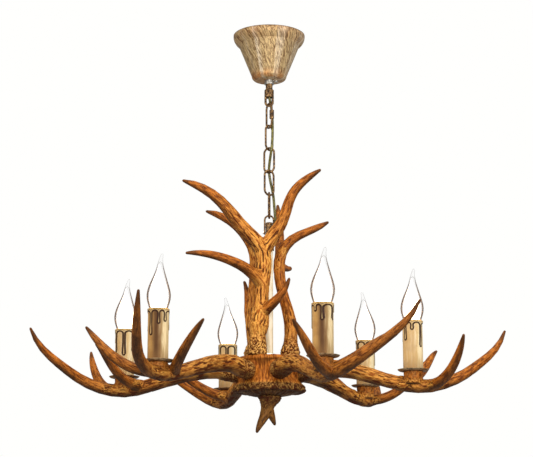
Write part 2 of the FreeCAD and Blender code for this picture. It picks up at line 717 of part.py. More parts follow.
def hub_dish():
    """Turned dish that closes the hub from below."""
    top, foot = HUB_BOTTOM_Z, DISH_FOOT_Z
    half_way = (DISH_R + DISH_FOOT_R) / 2
    dish = turned([
        line((STEM_R + FIT, top), (DISH_R, top)),
        arc((DISH_R, top), (half_way + DISH_BULGE, top - DISH_BULGE_SHARE * DISH_DROP),
            (DISH_FOOT_R, foot)),
        line((DISH_FOOT_R, foot), (STEM_R + FIT, foot)),
        line((STEM_R + FIT, foot), (STEM_R + FIT, top))])
    return one_solid(dish)


def finial():
    """Small forked antler that screws on to the end of the tube."""
    top = ((0.0, 0.0, 2.0, FINIAL_TOP_R), (0.0, 0.0, -2.0, FINIAL_TOP_R))
    beam = growth(raised(top + FINIAL_BEAM, DISH_FOOT_Z))
    whole = beam.fuse(growth(raised(FINIAL_TINE, DISH_FOOT_Z)))
    whole = whole.cut(rod(2 * FINIAL_TOP_R, DISH_FOOT_Z, DISH_FOOT_Z + FINIAL_TOP_R))
    return one_solid(whole.cut(rod(STEM_R + FIT, DISH_FOOT_Z - FINIAL_BORE_DEPTH, DISH_FOOT_Z)))


def raised(stations, z):
    return tuple((x, y, up + z, radius) for x, y, up, radius in stations)


# ---- Upright antlers ----

UPRIGHTS = {
    "upright_antler_front": (FRONT_BEAM, FRONT_TALL_TINE, FRONT_SIDE_TINE, FRONT_BROW_TINE),
    "upright_antler_right": (RIGHT_BEAM, RIGHT_BROW_TINE, RIGHT_BACK_TINE),
    "upright_antler_left": (LEFT_BEAM, LEFT_BROW_TINE, LEFT_BACK_TINE),
}
UPRIGHT_ROOTS = [growths[0][0][:2] for growths in UPRIGHTS.values()]


def upright(growths):
    """An antler that stands on the hub, bored from below for its bolt."""
    x, y = growths[0][0][:2]
    root = Vector(x, y, HUB_TOP_Z)
    whole = antler(root, Z, *[raised(stations, HUB_TOP_Z) for stations in growths])
    whole = whole.cut(rod(2 * HUB_RIM_R, HUB_TOP_Z - HUB_ROOF, HUB_TOP_Z))
    x, y = bolt_place((x, y))
    return one_solid(whole.cut(rod(ARM_BOLT_R + FIT, HUB_TOP_Z - 1,
                                   HUB_TOP_Z + UPRIGHT_BOLT_REACH, x, y)))


def upright_bolts():
    bolts = []
    for root in UPRIGHT_ROOTS:
        x, y = bolt_place(root)
        roof_z = HUB_TOP_Z - HUB_ROOF
        head = rod(BOLT_HEAD_R, roof_z - BOLT_HEAD_THICK, roof_z, x, y)
        shank = rod(ARM_BOLT_R, roof_z - 0.1, HUB_TOP_Z + UPRIGHT_BOLT_REACH - 1, x, y)
        bolts.append(one_solid(head.fuse(shank)))
    return bolts


# ---- Arms and candles ----

def candle_place(index):
    """Where a candle stands: its axis goes with its antler."""
    angle = arm_angle(index) + math.radians(ARM_SETS[index][0])
    return outwards(angle) * (CANDLE_OUT + CANDLE_SHIFTS[index]) + Z * CANDLE_Z


def loose_antler():
    """The antler casting along +X, before it is set on the hub."""
    return antler(Vector(SEAT_OUT, 0, 0), X, ARM_BEAM, ARM_OUTER_TINE, ARM_INNER_TINE)


def antler_arm(casting, index):
    """The casting set on the hub, with the boss for its candle."""
    turn, roll, tip = ARM_SETS[index]
    arm = casting.copy()
    seat = Vector(SEAT_OUT, 0, 0)
    arm.rotate(seat, X, roll)
    arm.rotate(seat, Vector(0, 1, 0), -tip)
    arm.rotate(seat, Z, turn)
    inside = Part.makeBox(SEAT_OUT, 2 * HUB_RIM_R, 2 * HUB_RIM_R, Vector(0, -HUB_RIM_R, -HUB_RIM_R))
    arm = arm.cut(inside)
    arm.rotate(Vector(0, 0, 0), Z, ARM_START + index * 360.0 / ARM_COUNT - 90)
    arm.translate(Z * ARM_Z)
    place = candle_place(index)
    top = CANDLE_Z - PAN_THICK
    boss = Part.makeCone(BOSS_FOOT_R, BOSS_TOP_R, BOSS_FOOT_DROP,
                         Vector(place.x, place.y, top - BOSS_FOOT_DROP), Z)
    arm = arm.fuse(boss)
    arm = arm.cut(hub_blank(LOOSE))
    arm = arm.cut(rod(PAN_R + LOOSE, top, top + 3 * PAN_LIP, place.x, place.y))
    arm = arm.cut(rod(STUD_R + FIT, top - STUD_IN_ARM, top + 1, place.x, place.y))
    ahead = outwards(arm_angle(index))
    bolt_end = ahead * (SEAT_OUT + ARM_BOLT_REACH) + Z * ARM_Z
    bolt_hole = rod_between(ARM_BOLT_R + FIT, ahead * HUB_CAVITY_R + Z * ARM_Z, bolt_end)
    return one_solid(arm.cut(bolt_hole))


def arm_bolts():
    bolts = []
    for index in range(ARM_COUNT):
        ahead = outwards(arm_angle(index))
        seat = ahead * math.sqrt(HUB_CAVITY_R ** 2 - BOLT_HEAD_R ** 2) + Z * ARM_Z
        head = rod_between(BOLT_HEAD_R, seat - ahead * BOLT_HEAD_THICK, seat)
        end = ahead * (SEAT_OUT + ARM_BOLT_REACH - 1) + Z * ARM_Z
        bolts.append(one_solid(head.fuse(rod_between(ARM_BOLT_R, seat - ahead * 0.1, end))))
    return bolts


def drip_pan(place):
    """Dished metal pan under a candle."""
    floor, low = place.z, place.z - PAN_THICK
    bore_r = STUD_R + FIT
    outer = (PAN_R, floor + PAN_LIP - PAN_THICK)
    inner = (PAN_R - PAN_EDGE, floor + PAN_LIP - PAN_EDGE)
    outer_bend = (PAN_R - PAN_CURL / 3, low + 0.3 * PAN_LIP)
    inner_bend = (PAN_R - PAN_CURL / 2, floor + 0.2 * PAN_LIP)
    under = (PAN_R - PAN_CURL, low)
    over = (PAN_R - PAN_CURL - PAN_EDGE / 2, floor)
    pan = turned([
        line((bore_r, low), under),
        arc(under, outer_bend, outer),
        line(outer, inner),
        arc(inner, inner_bend, over),
        line(over, (bore_r, floor)),
        line((bore_r, floor), (bore_r, low))])
    pan.translate(Vector(place.x, place.y, 0))
    return one_solid(pan)


def holder_stud(place):
    """Hollow threaded stud from the antler's boss into the lamp holder."""
    low = place.z - PAN_THICK - STUD_IN_ARM + STUD_END_GAP
    return tube(STUD_R, STUD_BORE_R, low, place.z + STUD_TOP, place.x, place.y)


def lamp_holder(place):
    """Candle lamp holder: a moulded tube on a flange, bored for the bulb's cap."""
    x, y, low = place.x, place.y, place.z
    flange = rod(SLEEVE_R - SLEEVE_WALL - 2 * FIT, low, low + HOLDER_FLANGE_THICK, x, y)
    body = flange.fuse(rod(HOLDER_R, low, low + HOLDER_HEIGHT, x, y))
    body = body.cut(rod(STUD_R + FIT, low - 1, low + STUD_TOP + FIT, x, y))
    well = rod(BULB_CAP_R + LOOSE, low + HOLDER_FLOOR, low + CANDLE_HEIGHT, x, y)
    return one_solid(body.cut(well))


def candle_sleeve(place):
    """Thin candle tube over the lamp holder, standing on the pan."""
    x, y, low = place.x, place.y, place.z
    sleeve = tube(SLEEVE_R, SLEEVE_R - SLEEVE_WALL, low, low + CANDLE_HEIGHT, x, y)
    top = [e for e in sleeve.Edges if len(e.Vertexes) == 1
           and e.CenterOfMass.z > low + CANDLE_HEIGHT - 1 and e.Curve.Radius > SLEEVE_R - 0.1]
    return one_solid(sleeve.makeFillet(1.0, top))


def bulb_cap(place):
    """Bulb's metal cap with its contact, clear of the holder all round."""
    x, y = place.x, place.y
    top = place.z + BULB_CAP_TOP
    low = top - BULB_CAP_LENGTH
    contact = place.z + HOLDER_FLOOR + LOOSE
    cap = rod(BULB_CAP_R, low, top, x, y)
    return one_solid(cap.fuse(rod(BULB_TIP_R, contact, low + BULB_TIP_R, x, y)))


def bulb_glass(place, turn):
    """Flame-shaped glass envelope, hollow, with a bent tip."""
    outer = growth([(bend, 0, height, radius) for height, radius, bend in GLASS], GLASS_BANDS)
    inner = growth([(bend, 0, height, radius - GLASS_WALL) for height, radius, bend in GLASS[:-1]],
                   GLASS_BANDS)
    glass = outer.cut(inner).cut(rod(3 * BULB_CAP_R, -BULB_CAP_R, 0))
    glass = glass.fuse(rod(GLASS[0][1] - 2 * FIT, 0, GLASS_WALL))
    glass.rotate(Vector(0, 0, 0), Z, turn)
    glass.translate(place + Z * BULB_CAP_TOP)
    return one_solid(glass)


# ---- Cord: drawn by hand beside the chain, out from the axis and below the ceiling ----
CORD_ROUTE = (
    (0.0, 0.0, LOOP_BODY_BOTTOM + 6.0),
    (0.6, 1.0, LOOP_BODY_BOTTOM - 2.0),
    (3.4, 6.4, LOOP_WIRE_Z + 2.0),
    (5.6, 2.4, LOOP_WIRE_Z - 20.0),
    (5.8, -1.0, LOOP_WIRE_Z - 39.0),
    (5.6, -6.0, LOOP_WIRE_Z - 58.0),
    (4.4, -8.2, LOOP_WIRE_Z - 76.0),
    (1.2, -0.4, LOOP_WIRE_Z - 94.0),
    (-0.8, 6.8, LOOP_WIRE_Z - 112.0),
    (2.2, 9.6, LOOP_WIRE_Z - 131.0),
    (6.8, 10.2, LOOP_WIRE_Z - 151.0),
    (8.4, 8.6, LOOP_WIRE_Z - 170.0),
    (9.6, 8.8, LOOP_WIRE_Z - 187.0),
    (11.6, 8.6, LOOP_WIRE_Z - 208.0),
)


def power_cord():
    """The cord as straight runs joined by the widest arcs that the runs allow."""
    points = [Vector(*p) for p in CORD_ROUTE]
    points += [outlet_point(OUTLET_MOUTH), outlet_point(OUTLET_IN)]
    edges = []
    at = points[0]
    radii = []
    for i in range(1, len(points) - 1):
        into = points[i] - points[i - 1]
        out = points[i + 1] - points[i]
        shorter = min(into.Length, out.Length)
        turn = into.getAngle(out)
        trim = 0.45 * shorter
        radii.append(trim / math.tan(turn / 2))
        start = points[i] - into.normalize() * trim
        end = points[i] + out.normalize() * trim
        bisector = (out - into).normalize()
        middle = points[i] + bisector * radii[-1] * (1 / math.cos(turn / 2) - 1)
        edges.append(Part.LineSegment(at, start).toShape())
        edges.append(Part.Arc(start, middle, end).toShape())
        at = end
    edges.append(Part.LineSegment(at, points[-1]).toShape())
    path = Part.Wire(edges)
    ahead = points[1] - points[0]
    ring = Part.Wire([Part.makeCircle(CORD_R, points[0], ahead)])
    solid = path.makePipeShell([ring], True, False)
    print("cord: length %.1f, tightest radius %.1f, volume over section times length %.4f"
          % (path.Length, min(radii), solid.Volume / (math.pi * CORD_R ** 2 * path.Length)))
    return one_solid(solid)


# ---- The whole chandelier ----

def nut_on_nipple(top):
    low = top - NUT_THICK
    return hexagon(NUT_FLATS, low, top).cut(rod(NIPPLE_R + FIT, low - 1, top + 1))


def main():
    save("ceiling_bar", ceiling_bar())
    save("nipple", tube(NIPPLE_R, NIPPLE_BORE_R, LOOP_BODY_TOP - LOOP_THREAD_DEPTH + 1, 0))
    save("nipple_nuts", nut_on_nipple(-BAR_THICK),
         nut_on_nipple(-CANOPY_DROP + CANOPY_WALL + NUT_THICK))
    save("canopy", canopy())
    save("canopy_ring_nut", tube(RING_NUT_R, NIPPLE_R + FIT,
                                 -CANOPY_DROP - RING_NUT_HEIGHT, -CANOPY_DROP))
    save("canopy_stop_screw", screw(STOP_SCREW_OUT, 0, -CANOPY_DROP, STOP_SCREW_LENGTH))
    save("terminal_block", terminal_block())
    save("earth_screw", screw(EARTH_OFFSET, 0, -BAR_THICK, BAR_THICK))
    save("loop_collar", tube(COLLAR_R, NIPPLE_R + FIT, LOOP_BODY_TOP,
                             LOOP_BODY_TOP + COLLAR_HEIGHT))
    save("hanging_loop", hanging_loop())
    for index in range(len(LINK_TURNS)):
        save("chain_link_%d" % (index + 1), chain_link(index))
    save("link_sleeve", link_sleeve())
    save("power_cord", power_cord())
    save("bail", bail())
    save("bail_pin", bail_pin())
    save("stem_head", stem_head())
    save("stem_neck", stem_neck())
    save("cord_bush", cord_bush())
    save("stem_tube", stem_tube())
    save("stem_nuts", *stem_nuts())
    save("hub_body", hub_body())
    save("hub_dish", hub_dish())
    save("finial", finial())
    for name, growths in UPRIGHTS.items():
        save(name, upright(growths))
    save("upright_bolts", *upright_bolts())
    save("arm_bolts", *arm_bolts())
    casting = loose_antler()
    places = [candle_place(index) for index in range(ARM_COUNT)]
    for index, place in enumerate(places):
        number = index + 1
        save("antler_arm_%d" % number, antler_arm(casting, index))
        save("candle_sleeve_%d" % number, candle_sleeve(place))
        save("bulb_cap_%d" % number, bulb_cap(place))
        save("bulb_glass_%d" % number, bulb_glass(place, BULB_TURNS[index]))
    save("drip_pans", *[drip_pan(place) for place in places])
    save("holder_studs", *[holder_stud(place) for place in places])
    save("lamp_holders", *[lamp_holder(place) for place in places])


main()
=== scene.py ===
# %% [markdown]
# # Dressing an antler chandelier
# The chandelier hangs from a cone-shaped ceiling rose by a chain. Six cast antlers carry
# candle lamps round a hub, three more antlers stand on the hub, and a forked one ends it below.
# Its frame is loaded first. What we add here is the finish: grooves and burrs in the antlers,
# wax on the candles, the cord, and materials worked out from noise.

import json
import math

import bmesh
import bpy
import numpy as np
from mathutils import Matrix, Vector, noise
from mathutils.bvhtree import BVHTree


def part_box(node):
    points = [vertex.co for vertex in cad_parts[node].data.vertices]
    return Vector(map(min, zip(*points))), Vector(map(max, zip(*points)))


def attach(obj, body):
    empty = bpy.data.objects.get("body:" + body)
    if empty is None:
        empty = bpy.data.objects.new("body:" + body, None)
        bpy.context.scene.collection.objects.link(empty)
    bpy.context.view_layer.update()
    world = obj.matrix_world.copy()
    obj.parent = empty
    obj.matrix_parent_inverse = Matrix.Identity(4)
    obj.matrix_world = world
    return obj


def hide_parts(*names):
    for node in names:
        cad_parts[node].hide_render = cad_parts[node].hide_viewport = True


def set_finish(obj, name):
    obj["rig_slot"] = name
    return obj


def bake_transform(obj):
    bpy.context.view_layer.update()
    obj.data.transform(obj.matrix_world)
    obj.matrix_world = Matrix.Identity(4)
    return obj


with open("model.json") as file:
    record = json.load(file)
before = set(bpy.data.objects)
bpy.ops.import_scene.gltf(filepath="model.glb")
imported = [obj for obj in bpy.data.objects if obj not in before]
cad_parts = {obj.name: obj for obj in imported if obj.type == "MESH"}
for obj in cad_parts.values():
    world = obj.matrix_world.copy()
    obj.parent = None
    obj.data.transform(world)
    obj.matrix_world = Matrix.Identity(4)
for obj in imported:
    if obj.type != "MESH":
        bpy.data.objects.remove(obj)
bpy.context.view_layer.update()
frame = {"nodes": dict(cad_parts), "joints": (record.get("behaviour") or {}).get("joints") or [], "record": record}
MM = 0.001

# %% [markdown]
# ## The camera
# The photograph looks slightly up at the lamp from candle height, through a long lens.
# The camera's height is measured from the foot of the candles, because those were easiest to
# line up in the photograph. The picture is 533 pixels wide, so a focal length in pixels turns
# into millimetres by the sensor's width over 533.

# %% Camera
PICTURE_WIDTH = 533
SENSOR_WIDTH = 36.0
FOCAL_PIXELS = 1519.9
CAMERA_OUT = 2.4728
CAMERA_UNDER_CANDLES = 0.2874
CAMERA_SIDE = -0.00446
CAMERA_TILT = math.radians(12.11)

candle_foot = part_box("candle_sleeve_1")[0].z
camera_data = bpy.data.cameras.new("camera")
camera_data.sensor_width = SENSOR_WIDTH
camera_data.lens = FOCAL_PIXELS * SENSOR_WIDTH / PICTURE_WIDTH
camera = bpy.data.objects.new("camera", camera_data)
camera.location = (CAMERA_SIDE, -CAMERA_OUT, candle_foot - CAMERA_UNDER_CANDLES)
camera.rotation_euler = (math.pi / 2 + CAMERA_TILT, 0.0, 0.0)
bpy.context.scene.collection.objects.link(camera)
bpy.context.scene.camera = camera
bpy.context.scene.view_settings.view_transform = "Standard"
print("camera", tuple(round(v, 3) for v in camera.location))

# %% [markdown]
# ## Shader maths as plain expressions
# A node tree is hard to read as code, because every sum is a node and two links. This small
# class wraps a socket and answers to +, -, * and /, so that an expression on values adds the
# Math nodes. All other nodes come from one method, which takes a type, settings and sockets.

# %% Value
class Value:
    """A node's output that takes part in sums like a number."""

    def __init__(self, finish, socket):
        self.finish = finish
        self.socket = socket

    def maths(self, operation, first, second, clamp=False):
        return self.finish.node("Math", {"operation": operation, "use_clamp": clamp},
                                {0: first, 1: second})

    def __add__(self, other):
        return self.maths("ADD", self, other)

    def __sub__(self, other):
        return self.maths("SUBTRACT", self, other)

    def __rsub__(self, other):
        return self.maths("SUBTRACT", other, self)

    def __mul__(self, other):
        return self.maths("MULTIPLY", self, other)

    def __truediv__(self, other):
        return self.maths("DIVIDE", self, other)

    __radd__ = __add__
    __rmul__ = __mul__

    def clamped(self):
        return self.maths("ADD", self, 0.0, clamp=True)


# %% [markdown]
# A finish is a node tree that grows. It usually belongs to a new material, but the world has
# a tree of the same kind, so it can be given to the same class. The method called node makes
# every node. The others are short names for the nodes that come back again and again.

# %% Finish
class Finish:
    """A node tree under construction: a new material's, or that of the given owner."""

    def __init__(self, name, owner=None):
        self.owner = owner or bpy.data.materials.new(name)
        self.owner.use_nodes = True
        self.tree = self.owner.node_tree
        self.tree.nodes.clear()

    def node(self, kind, settings=(), sockets=(), output=0):
        made = self.tree.nodes.new("ShaderNode" + kind)
        for name, value in dict(settings).items():
            if name == "stops":
                elements = made.color_ramp.elements
                while len(elements) < len(value):
                    elements.new(1.0)
                for element, (position, colour) in zip(elements, value):
                    element.position = position
                    element.color = colour
            else:
                setattr(made, name, value)
        for name, value in dict(sockets).items():
            if isinstance(value, Value):
                self.tree.links.new(value.socket, made.inputs[name])
            else:
                made.inputs[name].default_value = value
        return Value(self, made.outputs[output]) if made.outputs else None

    def attribute(self, name, output="Fac"):
        return self.node("Attribute", {"attribute_name": name}, output=output)

    def place(self):
        return self.node("TexCoord", output="Object")

    def scaled(self, vector, scale):
        return self.node("VectorMath", {"operation": "MULTIPLY"}, {0: vector, 1: scale})

    def noise(self, vector, scale, detail=3.0, roughness=0.55, distortion=0.0):
        return self.node("TexNoise", {}, {"Vector": vector, "Scale": scale, "Detail": detail,
                                          "Roughness": roughness, "Distortion": distortion})

    def larger(self, first, second):
        return self.node("Math", {"operation": "MAXIMUM"}, {0: first, 1: second})

    def spread(self, value, low, high):
        """Stretch low..high to 0..1, smoothly, and hold it there."""
        return self.node("MapRange", {"interpolation_type": "SMOOTHSTEP"},
                         {"Value": value, "From Min": low, "From Max": high})

    def band(self, value, middle, half):
        """1 at the middle, falling smoothly to 0 at half on both sides."""
        off = self.node("Math", {"operation": "ABSOLUTE"}, {0: value - middle})
        return 1.0 - self.spread(off, 0.0, half)

    def mix(self, share, first, second):
        return self.node("Mix", {"data_type": "RGBA", "clamp_factor": True},
                         {0: share, 6: first, 7: second}, output=2)

    def ramp(self, value, *stops):
        return self.node("ValToRGB", {"stops": stops}, {"Fac": value})

    def height(self):
        return self.node("SeparateXYZ", {}, {"Vector": self.place()}, output=2)

    def around_axis(self, radius, stretch, lean=0.0):
        """Coordinates that count the angle about Z in full, and height and reach in part."""
        turned = self.node("VectorRotate", {"rotation_type": "Z_AXIS"},
                           {"Vector": self.place(), "Angle": self.height() * lean})
        flat = self.scaled(turned, (1.0, 1.0, 0.0))
        ring = self.node("VectorMath", {"operation": "NORMALIZE"}, {0: flat})
        reach = self.node("VectorMath", {"operation": "LENGTH"}, {0: flat}, output=1)
        rise = (self.height() - reach) * stretch
        up = self.node("CombineXYZ", {}, {"Z": rise})
        return self.node("VectorMath", {"operation": "MULTIPLY_ADD"},
                         {0: ring, 1: (radius, radius, radius), 2: up})

    def bump(self, height, distance):
        return self.node("Bump", {}, {"Height": height, "Distance": distance, "Strength": 1.0})

    def surface(self, **sockets):
        """Close the material with a Principled shader; names use _ for a space."""
        named = {name.replace("_", " "): value for name, value in sockets.items()}
        shader = self.node("BsdfPrincipled", {}, named)
        self.node("OutputMaterial", {}, {"Surface": shader})
        return self.owner


# %% [markdown]
# Colours are written as they look on a screen, because that is how they are read off a
# picture. Shaders reckon in linear light, where a mid grey is about a fifth, so each colour
# goes through the screen's own curve.

# %% Colours
WHITE = (1.0, 1.0, 1.0, 1.0)


def paint(red, green, blue):
    """A colour as it looks on a screen, 0 to 255, as the linear light that shaders take."""
    def linear(level):
        share = level / 255
        return share / 12.92 if share <= 0.04045 else ((share + 0.055) / 1.055) ** 2.4
    return (linear(red), linear(green), linear(blue), 1.0)


def grey(level):
    """A plain level as a ramp's stop takes it."""
    return (level, level, level, 1.0)


print("a mid grey of 128 is", round(paint(128, 128, 128)[0], 3), "in linear light")

# %% [markdown]
# ## Light
# A lamp like this is photographed in a white studio. The world gives a soft, even light. It
# looks white to the camera and through glass, but lights the object with a lower level, so
# that the background can be white while the forms keep their shadows.

# %% World
WORLD_ON_OBJECT = 0.27
WORLD_COLOUR = (1.0, 1.0, 0.985, 1.0)
world = bpy.data.worlds.new("studio")
bpy.context.scene.world = world
sky = Finish("studio", world)
seen = sky.larger(sky.node("LightPath", output="Is Camera Ray"),
                  sky.node("LightPath", output="Is Transmission Ray"))
level = sky.node("MapRange", {}, {"Value": seen, "To Min": WORLD_ON_OBJECT, "To Max": 1.0})
backdrop = sky.node("Background", {}, {"Color": WORLD_COLOUR, "Strength": level})
sky.node("OutputWorld", {}, {"Surface": backdrop})
print("world on the object:", WORLD_ON_OBJECT)

# %% [markdown]
# Four soft lamps model the forms: a big one overhead, one in front, and a tall one on each
# side for long highlights on the rose. There is no lamp in the bulbs. Their glowing cores,
# made further down, give the warm light on the wax and the tines beside them.

# %% Studio lamps
LAMP_AIM = (0.0, 0.0, -0.45)
WARM = (1.0, 0.95, 0.86)
NEUTRAL = (1.0, 0.97, 0.92)
STRIP_SIZE = (0.35, 1.8)
STRIP_WATTS = 17


def soft_lamp(name, place, size, watts, colour):
    """A rectangular studio lamp that faces the chandelier."""
    data = bpy.data.lights.new(name, "AREA")
    data.shape = "RECTANGLE"
    data.size, data.size_y = size
    data.energy = watts
    data.color = colour
    lamp = bpy.data.objects.new(name, data)
    lamp.location = place
    lamp.rotation_mode = "QUATERNION"
    lamp.rotation_quaternion = (Vector(LAMP_AIM) - Vector(place)).to_track_quat("-Z", "Y")
    bpy.context.scene.collection.objects.link(lamp)
    print(name, watts, "W")


soft_lamp("overhead", (0.0, -0.4, 1.3), (1.6, 1.2), 24, WARM)
soft_lamp("front", (0.3, -2.3, -0.3), (0.8, 0.8), 26, WARM)
soft_lamp("left_front", (-1.5, -1.7, 0.1), STRIP_SIZE, STRIP_WATTS, NEUTRAL)
soft_lamp("right_front", (1.7, -1.4, 0.0), STRIP_SIZE, STRIP_WATTS, NEUTRAL)

# %% [markdown]
# ## The cord
# The cord leaves the hanging loop, wanders down beside the chain and goes into the neck of
# the stem through a rubber bush. It is drawn as a smooth NURBS curve through given
# control points. The curve is then cut into even steps, because a tube with rings at even
# distances bends evenly.

# %% Route of the cord
CORD_DIAMETER = 0.0045
CORD_SIDES = 14
CORD_STEP = 0.0011
SPLINE_ORDER = 3
SPLINE_STEPS = 24
LOOP_UNDERSIDE = -0.1093
LOOP_WIRE = -0.1236
CORD_ROUTE = (
    (0.0, 0.0, LOOP_UNDERSIDE + 0.006),
    (0.0006, 0.001, LOOP_UNDERSIDE - 0.002),
    (0.0034, 0.0064, LOOP_WIRE + 0.002),
    (0.0056, 0.0024, LOOP_WIRE - 0.020),
    (0.0058, -0.001, LOOP_WIRE - 0.039),
    (0.0056, -0.006, LOOP_WIRE - 0.058),
    (0.0044, -0.0082, LOOP_WIRE - 0.076),
    (0.0012, -0.0004, LOOP_WIRE - 0.094),
    (-0.0008, 0.0068, LOOP_WIRE - 0.112),
    (0.0022, 0.0096, LOOP_WIRE - 0.131),
    (0.0068, 0.0102, LOOP_WIRE - 0.151),
    (0.0084, 0.0086, LOOP_WIRE - 0.170),
    (0.0096, 0.0088, LOOP_WIRE - 0.187),
    (0.0116, 0.0086, LOOP_WIRE - 0.208),
    (0.01112, 0.01037, -0.3526),
    (0.00146, 0.00136, -0.3641),
)


def spline_points(route, step):
    """Evenly spaced points along a smooth curve whose control points are the route."""
    curve = bpy.data.curves.new("route", "CURVE")
    curve.dimensions = "3D"
    spline = curve.splines.new("NURBS")
    spline.points.add(len(route) - 1)
    for point, place in zip(spline.points, route):
        point.co = (*place, 1.0)
    spline.order_u = SPLINE_ORDER
    spline.use_endpoint_u = True
    spline.resolution_u = SPLINE_STEPS
    holder = bpy.data.objects.new("route", curve)
    mesh = bpy.data.meshes.new_from_object(holder)
    raw = [v.co.copy() for v in mesh.vertices]
    bpy.data.meshes.remove(mesh)
    bpy.data.objects.remove(holder)
    bpy.data.curves.remove(curve)
    travel = [0.0]
    for a, b in zip(raw, raw[1:]):
        travel.append(travel[-1] + (b - a).length)
    count = round(travel[-1] / step)
    points = []
    place = 0
    for index in range(count + 1):
        want = travel[-1] * index / count
        while place < len(raw) - 2 and travel[place + 1] < want:
            place += 1
        share = (want - travel[place]) / (travel[place + 1] - travel[place])
        points.append(raw[place].lerp(raw[place + 1], share))
    return points


cord_points = spline_points(CORD_ROUTE, CORD_STEP)
print("points along the cord:", len(cord_points))

# %% [markdown]
# A tube is a row of circles joined by bridges. Each circle stands square to the run of the
# points, and its sideways direction is carried on from the one before, so that the tube
# doesn't twist. How far along each ring lies is kept, for whatever wants to follow the cord.

# %% A tube along points
def finished(name, bm):
    """Turn a bmesh into an object of the scene, shaded smooth."""
    mesh = bpy.data.meshes.new(name)
    bm.to_mesh(mesh)
    bm.free()
    mesh.polygons.foreach_set("use_smooth", [True] * len(mesh.polygons))
    piece = bpy.data.objects.new(name, mesh)
    bpy.context.scene.collection.objects.link(piece)
    return piece


def tube_along(name, points, radius, sides):
    """A closed tube whose rings follow the points; its faces come from bridged loops."""
    bm = bmesh.new()
    along = bm.verts.layers.float.new("along")
    side = Vector((1.0, 0.0, 0.0))
    rings = []
    travel = 0.0
    for index, at in enumerate(points):
        before = points[max(index - 1, 0)]
        ahead = (points[min(index + 1, len(points) - 1)] - before).normalized()
        side = (side - ahead * side.dot(ahead)).normalized()
        turn = Matrix((side, ahead.cross(side), ahead)).transposed().to_4x4()
        made = bmesh.ops.create_circle(bm, segments=sides, radius=radius,
                                       matrix=Matrix.Translation(at) @ turn)
        travel += (at - before).length
        for vert in made["verts"]:
            vert[along] = travel
        rings.append(made["verts"])
    for low, high in zip(rings, rings[1:]):
        edges = [e for ring in (low, high) for e in {e for v in ring for e in v.link_edges}
                 if all(v in ring for v in e.verts)]
        bmesh.ops.bridge_loops(bm, edges=edges)
    for ring in (rings[0], rings[-1]):
        bmesh.ops.contextual_create(bm, geom=ring)
    bmesh.ops.recalc_face_normals(bm, faces=bm.faces)
    return finished(name, bm)


# %% [markdown]
# The chain swings at seven joints, and the cord has to bend with them. So the curve becomes
# seven lengths of tube that meet end to end, half-way between joints. Each length crosses
# one joint.

# %% Seven lengths of cord
CORD_BODIES = ["ceiling_rose", "link_1", "link_2", "link_3", "link_4", "link_5", "bail",
               "fixture"]
BEND_REACH = 0.010

joint_heights = {joint["child"]: joint["pos_m"][2] for joint in frame["joints"]}
bend_heights = [joint_heights[body] for body in CORD_BODIES[1:]]
seams = [(a + b) / 2 for a, b in zip(bend_heights, bend_heights[1:])]
cords = []
start = 0
for number, height in enumerate(bend_heights, 1):
    last = number == len(bend_heights)
    end = len(cord_points) - 1
    if not last:
        end = next(i for i, p in enumerate(cord_points) if p.z < seams[number - 1])
    stretch = cord_points[start:end + 1]
    piece = tube_along(f"cord_{number}", stretch, CORD_DIAMETER / 2, CORD_SIDES)
    above, below = CORD_BODIES[number - 1:number + 1]
    reach = min(BEND_REACH, stretch[0].z - height, height - stretch[-1].z)
    height + reach
    height - reach
    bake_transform(piece)
    run = sum((b - a).length for a, b in zip(stretch, stretch[1:]))
    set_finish(piece, "cord_sheath")
    cords.append(piece)
    start = end
    print(piece.name, above, "->", below, round(run * 1000, 1), "mm")
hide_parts("power_cord")

# %% [markdown]
# ## Antlers
# An antler has a grooved skin. The grooves run along each branch, are deepest on the shaft
# and fade towards the polished tip, and the root wears a ring of bony pearls. The frame has
# smooth, round branches made of loose triangles. A copy of each is joined up and remeshed to
# small, even faces, whose points can then be moved by noise.

# %% Remeshed copies of antlers
VOXEL = 0.00125
EASE = 0.5
EASE_ROUNDS = 3
JOIN_LOOSE = 0.00002


def merged_copy(node, name):
    """A copy of a node's mesh, with its loose triangles joined up."""
    bm = bmesh.new()
    bm.from_mesh(frame["nodes"][node].data)
    bmesh.ops.remove_doubles(bm, verts=bm.verts, dist=JOIN_LOOSE)
    return finished(name, bm)


def apply_modifiers(piece):
    """Replace the piece's mesh with the one that its modifiers make."""
    graph = bpy.context.evaluated_depsgraph_get()
    mesh = bpy.data.meshes.new_from_object(piece.evaluated_get(graph))
    old = piece.data
    piece.modifiers.clear()
    piece.data = mesh
    bpy.data.meshes.remove(old)
    mesh.name = piece.name


def remeshed(node, name, voxel=VOXEL, rounds=EASE_ROUNDS):
    """The node's form in small, even faces."""
    piece = merged_copy(node, name)
    remesh = piece.modifiers.new("remesh", "REMESH")
    remesh.mode = "VOXEL"
    remesh.voxel_size = voxel
    ease = piece.modifiers.new("ease", "SMOOTH")
    ease.factor = EASE
    ease.iterations = rounds
    apply_modifiers(piece)
    piece.data.polygons.foreach_set("use_smooth", [True] * len(piece.data.polygons))
    return piece


print("loose triangles of one arm:", len(frame["nodes"]["antler_arm_1"].data.polygons))

# %% [markdown]
# To make noise run along a bent branch, each point needs the middle of the branch beside it:
# a ray sent inwards finds the opposite wall, and half-way there is the middle. A few rounds
# of averaging with the neighbours even the middles out. The point's offset from its middle
# counts in full, and the middle itself only by a small share, so the pattern is stretched
# along the branch whichever way it bends.

# %% Middles of a branch
STRETCH = 0.20
WIDEST_BRANCH = 0.0185
THINNEST_BRANCH = 0.002
RAY_START = 0.0003
RAY_REACH = 4 * WIDEST_BRANCH
MIDDLE_ROUNDS = 12
OWN_SHARE = 0.4


